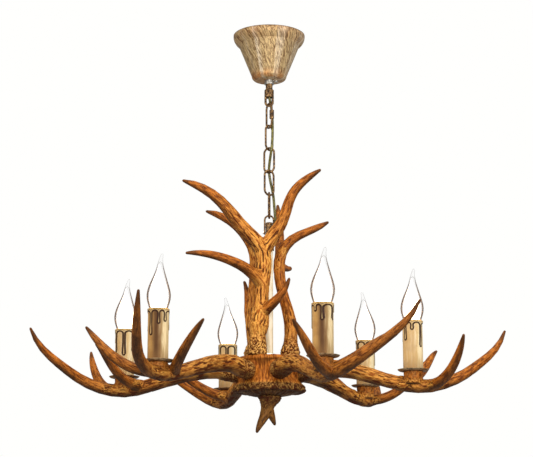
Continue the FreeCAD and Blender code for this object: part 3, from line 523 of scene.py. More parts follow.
def averaged(values, edges, rounds):
    """Average per-point values with their neighbours along the edges."""
    count = len(values)
    ends = np.concatenate([edges[:, 0], edges[:, 1]])
    others = np.concatenate([edges[:, 1], edges[:, 0]])
    shares = np.bincount(ends, minlength=count).clip(1)[:, None]
    for _ in range(rounds):
        sums = np.stack([np.bincount(ends, values[others, axis], count)
                         for axis in range(values.shape[1])], axis=1)
        values = OWN_SHARE * values + (1.0 - OWN_SHARE) * sums / shares
    return values


def mesh_arrays(mesh):
    """Points, normals and edges of a mesh as arrays."""
    points = np.empty(len(mesh.vertices) * 3)
    mesh.vertices.foreach_get("co", points)
    normals = np.empty(len(mesh.vertices) * 3)
    mesh.vertices.foreach_get("normal", normals)
    edges = np.empty(len(mesh.edges) * 2, int)
    mesh.edges.foreach_get("vertices", edges)
    return points.reshape(-1, 3), normals.reshape(-1, 3), edges.reshape(-1, 2)


def branch_middles(mesh, points, normals, edges):
    """Each point's branch middle and radius, from the wall opposite to it."""
    tree = BVHTree.FromPolygons([Vector(p) for p in points], [p.vertices for p in mesh.polygons])
    halves = np.empty((len(points), 1))
    for index, (point, normal) in enumerate(zip(points, normals)):
        inwards = -Vector(normal)
        hit = tree.ray_cast(Vector(point) + inwards * RAY_START, inwards, RAY_REACH)
        halves[index] = hit[3] / 2 if hit[0] else WIDEST_BRANCH
    halves = halves.clip(THINNEST_BRANCH, WIDEST_BRANCH)
    middles = averaged(points - normals * halves, edges, MIDDLE_ROUNDS)
    radii = np.linalg.norm(points - middles, axis=1)
    return middles, radii


# %% [markdown]
# Four patterns move the skin: broad lumps, grooves, fine scratches and pearls. What each
# point is, such as a groove or a tip, is kept in attributes, because the stain on the real
# casting follows the same forms. How far each point faces up is kept too, for a painted
# highlight on top and painted shade below. A second and third noise are the first one read
# elsewhere.

# %% Patterns of the skin
LUMP_SIZE, LUMP_HEIGHT = 0.021, 0.0007
GROOVE_SIZE, GROOVE_DEPTH = 0.0027, 0.0008
SCRATCH_SIZE, SCRATCH_HEIGHT = 0.0017, 0.00018
PEARL_SIZE, PEARL_HEIGHT, PEARL_SINK = 0.0044, 0.0015, 0.0005
PATCH_SIZE = 0.024
GRAIN_WAVER = 0.0014
PEARL_WAVER, PEARL_JITTER = 0.0016, 0.0005
WAVER_SHIFT, SCRATCH_SHIFT, PATCH_SHIFT = 0.4, 0.7, 0.2
SHAFT_RADII = (0.0060, 0.0125)
THIN_RADII = (0.0030, 0.0165)
GROOVE_STAIN, PEARL_STAIN = 0.85, 0.3


def ease_in(values, low, high):
    """Smooth step from 0 at low to 1 at high, in either direction."""
    share = ((values - low) / (high - low)).clip(0.0, 1.0)
    return share * share * (3 - 2 * share)


def noise_at(places, size):
    """Perlin noise with patches of a given size."""
    return np.array([noise.noise(Vector(place)) for place in places / size])


def pearls_at(places, size):
    """Rounded cells: 1 in the middle of a cell, 0 at its border."""
    nearest = [noise.voronoi(Vector(place))[0] for place in places / size]
    return np.array([1.0 - min(1.0, (pair[0] / max(pair[1], 0.001)) ** 2) for pair in nearest])


def keep_values(mesh, **fields):
    """Store per-point numbers, or vectors, for the material to read."""
    for name, values in fields.items():
        vector = values.ndim == 2
        layer = mesh.attributes.new(name, "FLOAT_VECTOR" if vector else "FLOAT", "POINT")
        layer.data.foreach_set("vector" if vector else "value", values.astype(np.float32).ravel())


def add_skin(piece, burr_of, still_of, grain_of=None, groove=GROOVE_DEPTH, stained=1.0, tone=0.0):
    """Groove, pearl and lump the skin of a remeshed antler, and keep its patterns."""
    mesh = piece.data
    points, normals, edges = mesh_arrays(mesh)
    if grain_of:
        grain, radii = grain_of(points)
    else:
        middles, radii = branch_middles(mesh, points, normals, edges)
        grain = (points - middles) + STRETCH * middles
    burr = burr_of(points)
    girth = ease_in(radii, *SHAFT_RADII)
    lumps = noise_at(points, LUMP_SIZE)
    bend = np.stack([lumps, noise_at(points + WAVER_SHIFT, LUMP_SIZE), np.zeros(len(points))],
                    axis=1)
    waved = grain + GRAIN_WAVER * bend
    furrow = ease_in(noise_at(waved, GROOVE_SIZE), 0.02, 0.40)
    scratch = noise_at(waved + SCRATCH_SHIFT, SCRATCH_SIZE)
    patches = ease_in(noise_at(points + PATCH_SHIFT, PATCH_SIZE), -0.35, 0.15)
    depth = furrow * (0.4 + 0.6 * patches) * girth * (1.0 - 0.6 * burr)
    pearls = pearls_at(points + PEARL_WAVER * bend + PEARL_JITTER * scratch[:, None], PEARL_SIZE)
    move = LUMP_HEIGHT * girth * lumps - groove * depth + SCRATCH_HEIGHT * girth * scratch
    move += burr * (PEARL_HEIGHT * pearls - PEARL_SINK)
    move *= 1.0 - still_of(points)
    moved = points + normals * move[:, None]
    mesh.vertices.foreach_set("co", moved.astype(np.float32).ravel())
    mesh.update()
    hollow = stained * depth * GROOVE_STAIN + PEARL_STAIN * burr * (1.0 - pearls) ** 2
    # top, how far each point faces up at rest, drives a painted highlight on top and painted shade below.
    keep_values(mesh, grain=grain, hollow=hollow.clip(0.0, 1.0), burr=burr,
                thin=1.0 - ease_in(radii, *THIN_RADII), top=normals[:, 2] * 0.5 + 0.5,
                patch=patches, tone=tone + np.zeros(len(points)))


# %% [markdown]
# Where the pearls go differs. On the arms they ring the root at the hub and faintly cover the
# boss under each candle, on the uprights they climb from the hub, and on the finial they
# crown it. The faces that seat on another piece keep still, so that they still fit. Each of
# these places is a pair of distances: where the weight starts to change, and where it ends.

# %% Roots and bosses
hub_low, hub_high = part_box("hub_body")
HUB_TOP = hub_high.z
ARM_COUNT = 6
FRONT_CANDLES = -0.1
ROOT_REACH = (0.062, 0.086)
BOSS_REACH = (0.015, 0.019)
BOSS_HEIGHTS = (-0.024, -0.010)
BOSS_SHARE = 0.25
SEAT_REACH = (0.026, 0.028)
SEAT_HEIGHTS = (-0.0034, -0.0022)
HUB_END_REACH = (0.050, 0.054)
UPRIGHT_PEARLS = (0.008, 0.048)
UPRIGHT_SEAT = (0.0005, 0.003)
FINIAL_PEARLS = (-0.022, -0.006)
FINIAL_SHARE = 0.9
FINIAL_SEAT = (-0.0012, -0.0002)

finial_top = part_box("finial")[1].z
candles = []
for number in range(1, ARM_COUNT + 1):
    low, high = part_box(f"candle_sleeve_{number}")
    candles.append(((low + high) / 2, low.z, high.z, (high.x - low.x) / 2))


def reach_of(points, middle=(0.0, 0.0)):
    """Distance of the points from an upright axis."""
    return np.linalg.norm(points[:, :2] - np.array(middle[:2]), axis=1)


def rising(points, level, heights):
    """0 at the first height above a level, 1 at the second."""
    return ease_in(points[:, 2], level + heights[0], level + heights[1])


def arm_burr(number):
    middle, foot = candles[number - 1][:2]

    def weight(points):
        root = 1.0 - ease_in(reach_of(points), *ROOT_REACH)
        beside = 1.0 - ease_in(reach_of(points, middle), *BOSS_REACH)
        return np.maximum(root, BOSS_SHARE * (beside * rising(points, foot, BOSS_HEIGHTS)))
    return weight


def arm_still(number):
    """Keep the seat of the drip pan and the end at the hub where they are."""
    middle, foot = candles[number - 1][:2]

    def weight(points):
        beside = 1.0 - ease_in(reach_of(points, middle), *SEAT_REACH)
        seat = rising(points, foot, SEAT_HEIGHTS) * beside
        return np.maximum(seat, 1.0 - ease_in(reach_of(points), *HUB_END_REACH))
    return weight


def upright_burr(points):
    return 1.0 - rising(points, HUB_TOP, UPRIGHT_PEARLS)


def upright_still(points):
    return 1.0 - rising(points, HUB_TOP, UPRIGHT_SEAT)


def finial_burr(points):
    return FINIAL_SHARE * rising(points, finial_top, FINIAL_PEARLS)


def finial_still(points):
    return rising(points, finial_top, FINIAL_SEAT)


print("candles stand", round(reach_of(np.array([candles[0][0]]))[0], 3), "m from the axis")

# %% [markdown]
# Now each antler is copied and gets its skin, and the copy stands for the frame's node. The
# arms under the two front candles get a browner tone as painted shade, and the finial is
# stained browner than the others.

# %% Antler skins
FRONT_SHADE_TONE = -0.4
BROWN_TONE = -1.0
UPRIGHT_GROOVE = 0.0009
FINIAL_VOXEL = 0.0009


def stand_for(piece, node, slot):
    """The piece takes the place of a node of the fixture, with a finish of its own."""
    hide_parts(node)
    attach(piece, "fixture")
    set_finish(piece, slot)


antlers = []
for number in range(1, ARM_COUNT + 1):
    piece = remeshed(f"antler_arm_{number}", f"arm_skin_{number}")
    # The arms under the front candles get a browner tone, as painted shade.
    in_front = candles[number - 1][0].y < FRONT_CANDLES
    add_skin(piece, arm_burr(number), arm_still(number), tone=FRONT_SHADE_TONE if in_front else 0.0)
    stand_for(piece, f"antler_arm_{number}", "antler_resin")
    antlers.append(piece)
for side in ("front", "right", "left"):
    piece = remeshed(f"upright_antler_{side}", f"upright_skin_{side}")
    add_skin(piece, upright_burr, upright_still, groove=UPRIGHT_GROOVE)
    stand_for(piece, f"upright_antler_{side}", "antler_resin")
    antlers.append(piece)
finial = remeshed("finial", "finial_skin", FINIAL_VOXEL)
add_skin(finial, finial_burr, finial_still, tone=BROWN_TONE)
stand_for(finial, "finial", "antler_resin")
antlers.append(finial)
print("antler faces:", sum(len(piece.data.polygons) for piece in antlers))

# %% [markdown]
# ## The hub
# The hub is carved to match: its grain stands upright on the waist and runs outwards on the
# flat top and under the dish. So the pattern follows the angle about the axis in full, and
# height and reach by a small share. Its scalloped rim is knobbly, and its waist is smoother,
# less stained and redder than the rest.

# %% Hub skin
HUB_GRAIN_R = 0.055
HUB_GRAIN_GIRTH = 0.012
HUB_GROOVE, HUB_WAIST_LESS = 0.0013, 0.001
WAIST_CLEAN = 0.6
WAIST_HEIGHTS = (0.009, 0.017)
RIM_HEIGHTS = (0.0078, 0.013)
RIM_WIDTHS = (0.014, 0.008)
CAVITY_REACH = (0.0405, 0.043)
HUB_SEAT = (-0.0012, -0.0002)
DISH_SEAT = (-0.0016, -0.0004)
DISH_VOXEL, DISH_ROUNDS, DISH_GROOVE = 0.0008, 2, 0.0014
hub_reach = (hub_high.x - hub_low.x) / 2


def hub_grain(points):
    reach = reach_of(points)
    round_about = points[:, :2] / reach.clip(0.001)[:, None] * HUB_GRAIN_R
    rise = STRETCH * (points[:, 2] - reach)
    return np.column_stack([round_about, rise]), np.full(len(points), HUB_GRAIN_GIRTH)


def rim_burr(points):
    low = 1.0 - rising(points, hub_low.z, RIM_HEIGHTS)
    return low * ease_in(reach_of(points), hub_reach - RIM_WIDTHS[0], hub_reach - RIM_WIDTHS[1])


def no_burr(points):
    return np.zeros(len(points))


def hub_still(points):
    """The cavity and the top face stay as they are, so that what sits there fits."""
    inside = 1.0 - ease_in(reach_of(points), *CAVITY_REACH)
    return np.maximum(inside, rising(points, HUB_TOP, HUB_SEAT))


def dish_still(points):
    return rising(points, hub_low.z, DISH_SEAT)


hub = remeshed("hub_body", "hub_skin")
waist = rising(mesh_arrays(hub.data)[0], hub_low.z, WAIST_HEIGHTS)
add_skin(hub, rim_burr, hub_still, hub_grain, groove=HUB_GROOVE - HUB_WAIST_LESS * waist,
         stained=1.0 - WAIST_CLEAN * waist, tone=2.0 * waist - 1.0)
dish = remeshed("hub_dish", "dish_skin", DISH_VOXEL, DISH_ROUNDS)
add_skin(dish, no_burr, dish_still, hub_grain, groove=DISH_GROOVE, tone=BROWN_TONE)
for piece, node in ((hub, "hub_body"), (dish, "hub_dish")):
    stand_for(piece, node, "antler_resin")
    antlers.append(piece)
print("hub faces:", len(hub.data.polygons), "dish faces:", len(dish.data.polygons))

# %% [markdown]
# ## Candles
# Each candle is a moulded tube with wax that seems to have run over its rim. The wax is a
# raised field: a band at the top and a few round-ended runs below it, and between two runs
# the band's edge is an arch. Where the runs are and how long they are comes from noise, so
# that no two candles look alike but each looks the same every time.

# %% Where the wax runs
WAX_BAND = 0.0042
WAX_ARCH = 0.0052
WAX_RUNS = 7
CANDLE_STRIDE, RUN_STRIDE = 7.3, 3.1
PLACE_ROW, LENGTH_ROW, WIDTH_ROW = 0.5, 5.5, 9.5
SHORTEST_RUN, RUN_LENGTHENS = 0.013, 0.032
NARROWEST_RUN, RUN_WIDENS = 0.0009, 0.0006
DRIP_SWELL = 0.0005


def chance(number, run, row):
    """A settled random share from 0 to 1 for one run of one candle."""
    return 0.5 + 0.5 * noise.cell(Vector((number * CANDLE_STRIDE, run * RUN_STRIDE, row)))


def wax_runs(number, around):
    """Each run's place round the tube, its length and half its width."""
    runs = []
    for run in range(WAX_RUNS):
        place = (run + 0.5 * (chance(number, run, PLACE_ROW) - 0.5)) / WAX_RUNS * around
        length = SHORTEST_RUN + RUN_LENGTHENS * chance(number, run, LENGTH_ROW)
        runs.append((place, length, NARROWEST_RUN + RUN_WIDENS * chance(number, run, WIDTH_ROW)))
    return runs


def wax_field(turn, drop, radius, number):
    """Distance to the edge of the wax, on the unrolled tube; below 0 is wax."""
    around = 2 * math.pi * radius
    runs = wax_runs(number, around)
    field = np.zeros(len(turn))
    for run, after in zip(runs, runs[1:] + runs[:1]):
        gap = (after[0] - run[0]) % around
        here = (turn * radius - run[0]) % around
        half = (gap - run[2] - after[2]) / 2
        across = here - run[2] - half
        rise = (WAX_BAND + WAX_ARCH - drop).clip(0.0)
        arch = (1.0 - np.hypot(across / half, rise / WAX_ARCH)) * min(half, WAX_ARCH)
        near = across < 0
        width = np.where(near, run[2], after[2])
        end = np.where(near, run[1], after[1]) - width
        cap = np.hypot(np.where(near, here, gap - here), (drop - end).clip(0.0)) - width
        value = np.where(drop > end, np.maximum(arch, cap), arch)
        value -= DRIP_SWELL * ease_in(drop / end, 0.55, 1.0)
        field = np.where(here < gap, value, field)
    return field


print("longest run of candle 1:", round(max(run[1] for run in wax_runs(1, 0.1)) * 1000), "mm")

# %% [markdown]
# The tube's outline, with a softened lip, is spun round the candle's axis. Its points are
# then pushed outwards where there is wax. The wax has a dark line along its edge, and a
# fainter second line inside it near the top, which the finish reads from an attribute.

# %% Candle tubes
SLEEVE_WALL = 0.0015
WAX_STEPS = 160
WAX_ROWS = 120
WAX_RISE = 0.001
WAX_LINE = 0.0017
WAX_SLOPE = (0.0002, -0.0011)
LIP_DEPTH = 0.001
LIP_EDGE = ((0.0003, 0.0004), (0.0008, 0.0))
TUBE_SKIN = (0.0009, 0.0005)
LINE_OFFSET, LINE_CORE = 0.0003, 0.35
CREST_IN, CREST_WIDTH, CREST_SHARE = 0.0027, 0.0006, 0.7
CREST_DROPS = (0.009, 0.013)
# Share of the painted shade band and darker ivory: full on the front candles, faint on the others.
SHADE_ON_FRONT, SHADE_ON_BACK = 1.0, 0.15
JOIN_SPUN = 0.00001


def spun(name, outline, middle, steps, closed):
    """Spin an outline of radii and heights about an upright axis, and join its seam."""
    bm = bmesh.new()
    verts = [bm.verts.new((middle.x + r, middle.y, z)) for r, z in outline]
    ahead = verts[1:] + verts[:1] if closed else verts[1:]
    edges = [bm.edges.new(pair) for pair in zip(verts, ahead)]
    bmesh.ops.spin(bm, geom=verts + edges, cent=(middle.x, middle.y, 0), axis=(0, 0, 1),
                   angle=2 * math.pi, steps=steps, use_merge=True)
    bmesh.ops.remove_doubles(bm, verts=bm.verts, dist=JOIN_SPUN)
    bmesh.ops.recalc_face_normals(bm, faces=bm.faces)
    return finished(name, bm)


def candle_tube(number):
    middle, foot, top, radius = candles[number - 1]
    heights = [foot + (top - foot - LIP_DEPTH) * i / WAX_ROWS for i in range(WAX_ROWS + 1)]
    outline = [(radius, z) for z in heights]
    outline += [(radius - inwards, top - down) for inwards, down in LIP_EDGE]
    outline += [(radius - SLEEVE_WALL, top), (radius - SLEEVE_WALL, foot)]
    piece = spun(f"candle_{number}", outline, middle, WAX_STEPS, closed=True)
    points = mesh_arrays(piece.data)[0]
    offset = points[:, :2] - np.array(middle[:2])
    reach = np.linalg.norm(offset, axis=1)
    turn = np.arctan2(offset[:, 0], -offset[:, 1])
    drop = top - points[:, 2]
    field = wax_field(turn % (2 * math.pi), drop, radius, number)
    outer = ease_in(reach, radius - TUBE_SKIN[0], radius - TUBE_SKIN[1])
    wax = ease_in(field, *WAX_SLOPE)
    rise = WAX_RISE * wax * outer * ease_in(drop, 0.0, LIP_DEPTH)
    points[:, :2] += offset / reach[:, None] * rise[:, None]
    piece.data.vertices.foreach_set("co", points.astype(np.float32).ravel())
    piece.data.update()
    edge = 1.0 - ease_in(np.abs(field - LINE_OFFSET), LINE_CORE * WAX_LINE, WAX_LINE)
    crest = np.exp(-((field + CREST_IN) / CREST_WIDTH) ** 2)
    crest = crest * (1.0 - ease_in(drop, *CREST_DROPS))
    sides = np.column_stack([np.cos(turn) * radius, np.sin(turn) * radius, points[:, 2] - foot])
    # Painted shade: the front candles get the full brown band.
    smoked = SHADE_ON_FRONT if middle.y < FRONT_CANDLES else SHADE_ON_BACK
    keep_values(piece.data, edge=np.maximum(edge, CREST_SHARE * crest) * outer, wax=wax,
                turn=turn, drop=drop / (top - foot), roll=sides,
                smoked=np.full(len(points), smoked))
    stand_for(piece, f"candle_sleeve_{number}", "candle_wax")
    return piece


tubes = [candle_tube(number) for number in range(1, ARM_COUNT + 1)]
print("faces of one candle:", len(tubes[0].data.polygons))

# %% [markdown]
# ## Bulbs
# A frosted flame bulb glows evenly inside its clear envelope. The envelope is the frame's
# glass. A glowing core stands in each, a little smaller, as a spun flame shape. Its outline
# is a few radii and heights in millimetres, and a subdivision rounds it off.

# %% Glowing cores
CORE_OUTLINE = ((0.0, 0.0), (6.0, 0.4), (9.2, 6.0), (12.2, 16.0), (15.2, 24.0), (16.6, 33.0),
                (15.6, 43.0), (12.6, 54.0), (7.6, 65.0), (3.6, 76.0), (1.2, 84.0), (0.0, 86.0))
CORE_STEPS = 40
CORE_SHARE = 0.84
CORE_LIFT = 0.0015
cores = []
for number in range(1, ARM_COUNT + 1):
    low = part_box(f"bulb_glass_{number}")[0]
    outline = [(r * CORE_SHARE * MM, low.z + CORE_LIFT + z * MM) for r, z in CORE_OUTLINE]
    core = spun(f"bulb_core_{number}", outline, candles[number - 1][0], CORE_STEPS, closed=False)
    keep_values(core.data, rise=mesh_arrays(core.data)[0][:, 2] - low.z)
    round_off = core.modifiers.new("round", "SUBSURF")
    round_off.levels = 1
    round_off.render_levels = 1
    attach(core, f"bulb_{number}")
    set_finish(core, "bulb_glass")
    cores.append(core)
print("cores:", len(cores))

# %% [markdown]
# ## Stained resin
# The castings are dark-stained, then rubbed back, so the stain stays in the grooves and
# between the pearls, while ridges go amber. Thin tines are browner. Faces that look up get a
# painted highlight, lighter and more orange, and the undersides a dark brown painted shade.
# Each coat is a pair of colours, one in the furrows and one on the ridges, and goes on
# over the coats before it where its share says so. The shares follow the skins' attributes.

# %% Antler finish
HONEY = ((158, 84, 22), (244, 178, 84))
RUSSET = ((134, 62, 12), (206, 120, 38))
CHESTNUT = ((92, 42, 8), (188, 104, 30))
TOPSIDE_HIGHLIGHT = ((84, 46, 14), (186, 120, 50))
WAIST_RED = ((108, 52, 12), (196, 112, 34))
BRACKEN = ((42, 26, 9), (138, 98, 48))
UNDERSIDE_SHADE = ((36, 19, 7), (84, 50, 20))
PEARL = (240, 188, 106)
DARK_TIP = (62, 37, 18)
GROOVE_BROWN = (70, 26, 7)


def antler_finish():
    finish = Finish("antler_resin")
    grain = finish.attribute("grain", "Vector")
    hollow = finish.attribute("hollow")
    burr = finish.attribute("burr")
    thin = finish.attribute("thin")
    top = finish.attribute("top")
    patch = finish.attribute("patch")
    tone = finish.attribute("tone")
    blotch = finish.noise(finish.place(), 34.0, 4.0, 0.6)
    knobs = finish.noise(finish.place(), 330.0, 3.0, 0.7)
    calm = 1.0 - finish.spread(thin, 0.6, 1.0) * 0.8
    streak = finish.noise(grain, 400.0, 4.0, 0.65)
    fine = 0.5 + (finish.noise(grain, 1000.0, 3.0, 0.6) - 0.5) * calm
    ridge = finish.spread(0.5 + (streak - 0.5) * (0.5 + calm * 0.5), 0.38, 0.62)

    def blended(share, pair):
        return finish.mix(share, paint(*pair[0]), paint(*pair[1]))

    colour = blended(ridge, HONEY)
    for share, pair in ((finish.spread(blotch, 0.42, 0.66) * 0.4, RUSSET),
                        (finish.spread(thin, 0.04, 0.75) * 0.9, CHESTNUT),
                        # Painted highlight: faces that look up go lighter and more orange.
                        (finish.spread(top, 0.55, 0.95) * 0.3, TOPSIDE_HIGHLIGHT),
                        (finish.spread(tone, 0.0, 1.0) * 0.8, WAIST_RED),
                        # BRACKEN browns the finial, the dish and the hub's rim as stain, and the arms under the
                        # front candles as painted shade.
                        (finish.spread(tone, 0.0, -1.0) * 0.8, BRACKEN)):
        colour = finish.mix(share, colour, blended(ridge, pair))
    knobby = burr * finish.spread(knobs, 0.46, 0.60) * (0.3 + 0.7 * finish.spread(tone, -1.0, 0.0))
    colour = finish.mix(knobby * 0.8, colour, paint(*PEARL))
    # Painted shade: the undersides go dark brown, more in some patches than in others.
    shade = 1.0 - finish.spread(top, 0.08, 0.50)
    underside_shade = blended(finish.spread(fine, 0.35, 0.7), UNDERSIDE_SHADE)
    colour = finish.mix((shade * (0.72 + patch * 0.25)).clamped(), colour, underside_shade)
    colour = finish.mix(finish.spread(thin, 0.95, 1.0) * 0.7, colour, paint(*DARK_TIP))
    pits = burr * (1.0 - finish.spread(knobs, 0.40, 0.55))
    stain = finish.spread(hollow + pits * 0.8 + (fine - 0.5) * 0.4, 0.12, 0.60)
    colour = finish.mix(stain * 0.9, colour, paint(*GROOVE_BROWN))
    rough = 0.46 + stain * 0.25 + (fine - 0.5) * 0.25
    relief = (streak * 0.6 + fine * 0.4 - stain * 0.6) * calm
    return finish.surface(Base_Color=colour, Roughness=rough.clamped(), Specular_IOR_Level=0.12,
                          Normal=finish.bump(relief, 0.0008))


finishes = {"antler_resin": antler_finish()}
print("nodes in the antler finish:", len(finishes["antler_resin"].node_tree.nodes))

# %% [markdown]
# ## Metals
# The rose is pale gold with brush strokes that run down the cone and lean round it, warmer at
# the lip and at the foot. Broad pale streaks over the strokes are a painted reflection. A
# stroke is noise that is stretched along the height and turned about the axis as it drops.

# %% Rose finish
STROKE_RING = 0.045
STROKE_STRETCH, STROKE_LEAN = 0.24, 8.0
REFLECTION_STRETCH = 0.03
ROSE_WARMTH = ((0.0, 0.7), (0.12, 0.45), (0.30, 0.0), (0.80, 0.0), (0.95, 0.9), (1.0, 1.0))


def rose_finish():
    finish = Finish("brushed_gold")
    low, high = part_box("canopy")
    down = (high.z - finish.height()) / (high.z - low.z)
    strokes = finish.around_axis(STROKE_RING, STROKE_STRETCH, STROKE_LEAN)
    fine = finish.noise(strokes, 760.0, 3.0, 0.8, 0.6)
    broad = finish.noise(finish.around_axis(STROKE_RING, REFLECTION_STRETCH), 60.0, 2.0, 0.5)
    cloud = finish.noise(finish.place(), 45.0, 3.0)
    colour = finish.mix(finish.spread(fine, 0.42, 0.58), paint(106, 72, 36), paint(222, 192, 140))
    # Painted reflection: broad pale streaks over the strokes.
    painted_reflection = finish.spread(broad, 0.48, 0.68) * finish.spread(fine, 0.36, 0.56)
    colour = finish.mix(painted_reflection * 0.7, colour, paint(246, 230, 206))
    lip = finish.ramp(down, *((place, grey(level)) for place, level in ROSE_WARMTH))
    warmth = finish.node("RGBToBW", {}, {"Color": lip})
    warmth = warmth * finish.spread(cloud - broad * 0.5, 0.10, 0.42)
    copper = finish.mix(finish.spread(fine, 0.4, 0.6), paint(112, 60, 22), paint(204, 136, 68))
    colour = finish.mix(warmth * 0.9, colour, copper)
    edge = 1.0 - finish.spread(down, 0.004, 0.022)
    colour = finish.mix(edge * 0.85, colour, paint(92, 66, 38))
    return finish.surface(Base_Color=colour, Metallic=0.35, Roughness=(0.36 + fine * 0.2),
                          Normal=finish.bump(fine + broad * 0.5, 0.00025))


finishes["brushed_gold"] = rose_finish()
print("nodes in the rose finish:", len(finishes["brushed_gold"].node_tree.nodes))

# %% [markdown]
# The chain and its fittings are antique bronze, mottled by handling. The drip pans are a
# paler, duller metal, with a painted highlight along their rims. Nuts, bolts, studs and bulb
# caps are plated, with faint turning marks.

# %% Bronze, pan and steel finishes
PAN_RIM_HIGHLIGHT = (0.0014, 0.0004)


def bronze_finish():
    finish = Finish("aged_bronze")
    place = finish.place()
    mottle = finish.noise(place, 300.0, 4.0, 0.7)
    patch = finish.noise(place, 130.0, 3.0)
    colour = finish.ramp(mottle, (0.34, paint(26, 18, 10)), (0.46, paint(82, 58, 34)),
                         (0.56, paint(146, 110, 68)), (0.70, paint(220, 186, 134)))
    colour = finish.mix(finish.spread(patch, 0.50, 0.72) * 0.5, colour, paint(78, 52, 32))
    return finish.surface(Base_Color=colour, Metallic=0.55, Roughness=(0.30 + mottle * 0.3),
                          Normal=finish.bump(mottle, 0.0002))


def pan_finish():
    finish = Finish("pan_metal")
    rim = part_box("drip_pans")[1].z
    mottle = finish.noise(finish.place(), 260.0, 4.0, 0.6)
    colour = finish.ramp(mottle, (0.32, paint(84, 66, 46)), (0.55, paint(140, 114, 82)),
                         (0.74, paint(190, 164, 124)))
    # Painted highlight: a patchy pale band along the top of the rims.
    rim_highlight = finish.spread(finish.height(), rim - PAN_RIM_HIGHLIGHT[0], rim - PAN_RIM_HIGHLIGHT[1])
    colour = finish.mix(rim_highlight * finish.spread(mottle, 0.3, 0.6) * 0.8, colour, paint(212, 190, 148))
    return finish.surface(Base_Color=colour, Metallic=0.5, Roughness=(0.35 + mottle * 0.2),
                          Normal=finish.bump(mottle, 0.0002))


def steel_finish(name, colour, dull, roughness):
    """Plated steel with faint turning marks and finger-dulled patches."""
    finish = Finish(name)
    place = finish.place()
    turned = finish.noise(finish.scaled(place, (0.12, 0.12, 1.0)), 2400.0, 2.0)
    patch = finish.noise(place, 160.0, 3.0)
    tone = finish.mix(finish.spread(patch, 0.4, 0.7) * 0.6, colour, dull)
    return finish.surface(Base_Color=tone, Metallic=0.95, Roughness=(roughness + patch * 0.2),
                          Normal=finish.bump(turned, 0.00006))


finishes["aged_bronze"] = bronze_finish()
finishes["pan_metal"] = pan_finish()
for name, colour, dull, roughness in (
        ("zinc_steel", paint(196, 196, 192), paint(142, 140, 132), 0.28),
        ("bright_steel", paint(232, 232, 230), paint(190, 188, 182), 0.12),
        ("cap_metal", paint(214, 176, 104), paint(160, 124, 70), 0.25)):
    finishes[name] = steel_finish(name, colour, dull, roughness)
print("metals:", list(finishes)[1:])

# %% [markdown]
# ## Wax
# The candle tubes are ivory, with a painted warm reflection in gold on one side. The two in
# front have a browned band and darker ivory, both painted shade; the band is faint on the
# others. A painted highlight runs down the left edge. They darken towards the foot, and the
# rim has a painted glow in gold from the bulb. Each wax run has a dark line along its edge.

# %% Candle finish
PLAIN_IVORY = ((234, 206, 152), (255, 240, 202))
SHADED_IVORY = ((200, 174, 126), (242, 222, 178))
REFLECTED_GOLD = ((204, 152, 80), (184, 130, 64))


def wax_finish():
    finish = Finish("candle_wax")
    drop = finish.attribute("drop")
    smoked = finish.attribute("smoked")
    roll = finish.attribute("roll", "Vector")
    strands = finish.noise(finish.scaled(roll, (1.0, 1.0, 0.10)), 300.0, 4.0, 0.6)
    cloud = finish.noise(roll, 70.0, 3.0)
    pores = finish.noise(roll, 1500.0, 2.0)
    side = finish.attribute("turn") + (strands - 0.5) * 0.4

    def blended(share, pair):
        return finish.mix(share, paint(*pair[0]), paint(*pair[1]))

    strand = finish.spread(strands, 0.35, 0.7)
    # Painted shade: the front candles' ivory is darker.
    ivory = finish.mix(smoked, blended(strand, PLAIN_IVORY), blended(strand, SHADED_IVORY))
    gold = blended(finish.spread(cloud, 0.4, 0.65), REFLECTED_GOLD)
    # Painted warm reflection: gold on one side, stronger on the front candles.
    ivory = finish.mix((1.0 - finish.spread(side, 0.0, 0.55)) * (0.5 + smoked * 0.35), ivory, gold)
    # In order: a band of painted shade, a painted highlight down the left edge, darker towards the foot, paler
    # over the wax, and a painted glow of the bulb at the rim.
    for share, colour in (
            (finish.band(side, -0.10, 0.85) * smoked, (88, 56, 26)),
            ((1.0 - finish.spread(side, -1.5, -0.9)) * 0.5, (232, 200, 146)),
            (finish.spread(drop, 0.7, 1.0) * 0.4, (146, 106, 60)),
            (finish.attribute("wax") * 0.45, (240, 208, 146)),
            ((1.0 - finish.spread(drop, 0.0, 0.05)) * 0.7, (222, 168, 72))):
        ivory = finish.mix(share, ivory, paint(*colour))
    line = finish.attribute("edge") * (0.75 + strands * 0.6)
    colour = finish.mix(line.clamped(), ivory, paint(48, 20, 5))
    return finish.surface(Base_Color=colour, Roughness=(0.46 + pores * 0.15),
                          Specular_IOR_Level=0.2, Normal=finish.bump(pores + strands, 0.0001))


finishes["candle_wax"] = wax_finish()
print("nodes in the wax finish:", len(finishes["candle_wax"].node_tree.nodes))

# %% [markdown]
# ## Paint, rubber and cord
# The stem's cream paint has yellowed, the terminal block and the lamp holders are moulded,
# and the cord has a soft olive sheath. All of them read the object's own coordinates.

# %% Stem, moulding and cord finishes
def stem_finish():
    finish = Finish("stem_paint")
    age = finish.noise(finish.scaled(finish.place(), (1.0, 1.0, 0.2)), 220.0, 4.0)
    colour = finish.mix(finish.spread(age, 0.35, 0.7), paint(248, 240, 218), paint(228, 210, 172))
    return finish.surface(Base_Color=colour, Roughness=(0.35 + age * 0.15),
                          Normal=finish.bump(age, 0.0001))


def moulded_finish(name, colour, dusty, roughness):
    """Moulded plastic or rubber with a spark-eroded skin and a little dust."""
    finish = Finish(name)
    place = finish.place()
    skin = finish.noise(place, 2600.0, 2.0)
    dust = finish.noise(place, 120.0, 4.0)
    tone = finish.mix(finish.spread(dust, 0.45, 0.75) * 0.5, colour, dusty)
    return finish.surface(Base_Color=tone, Roughness=(roughness + skin * 0.12),
                          Normal=finish.bump(skin, 0.00005))


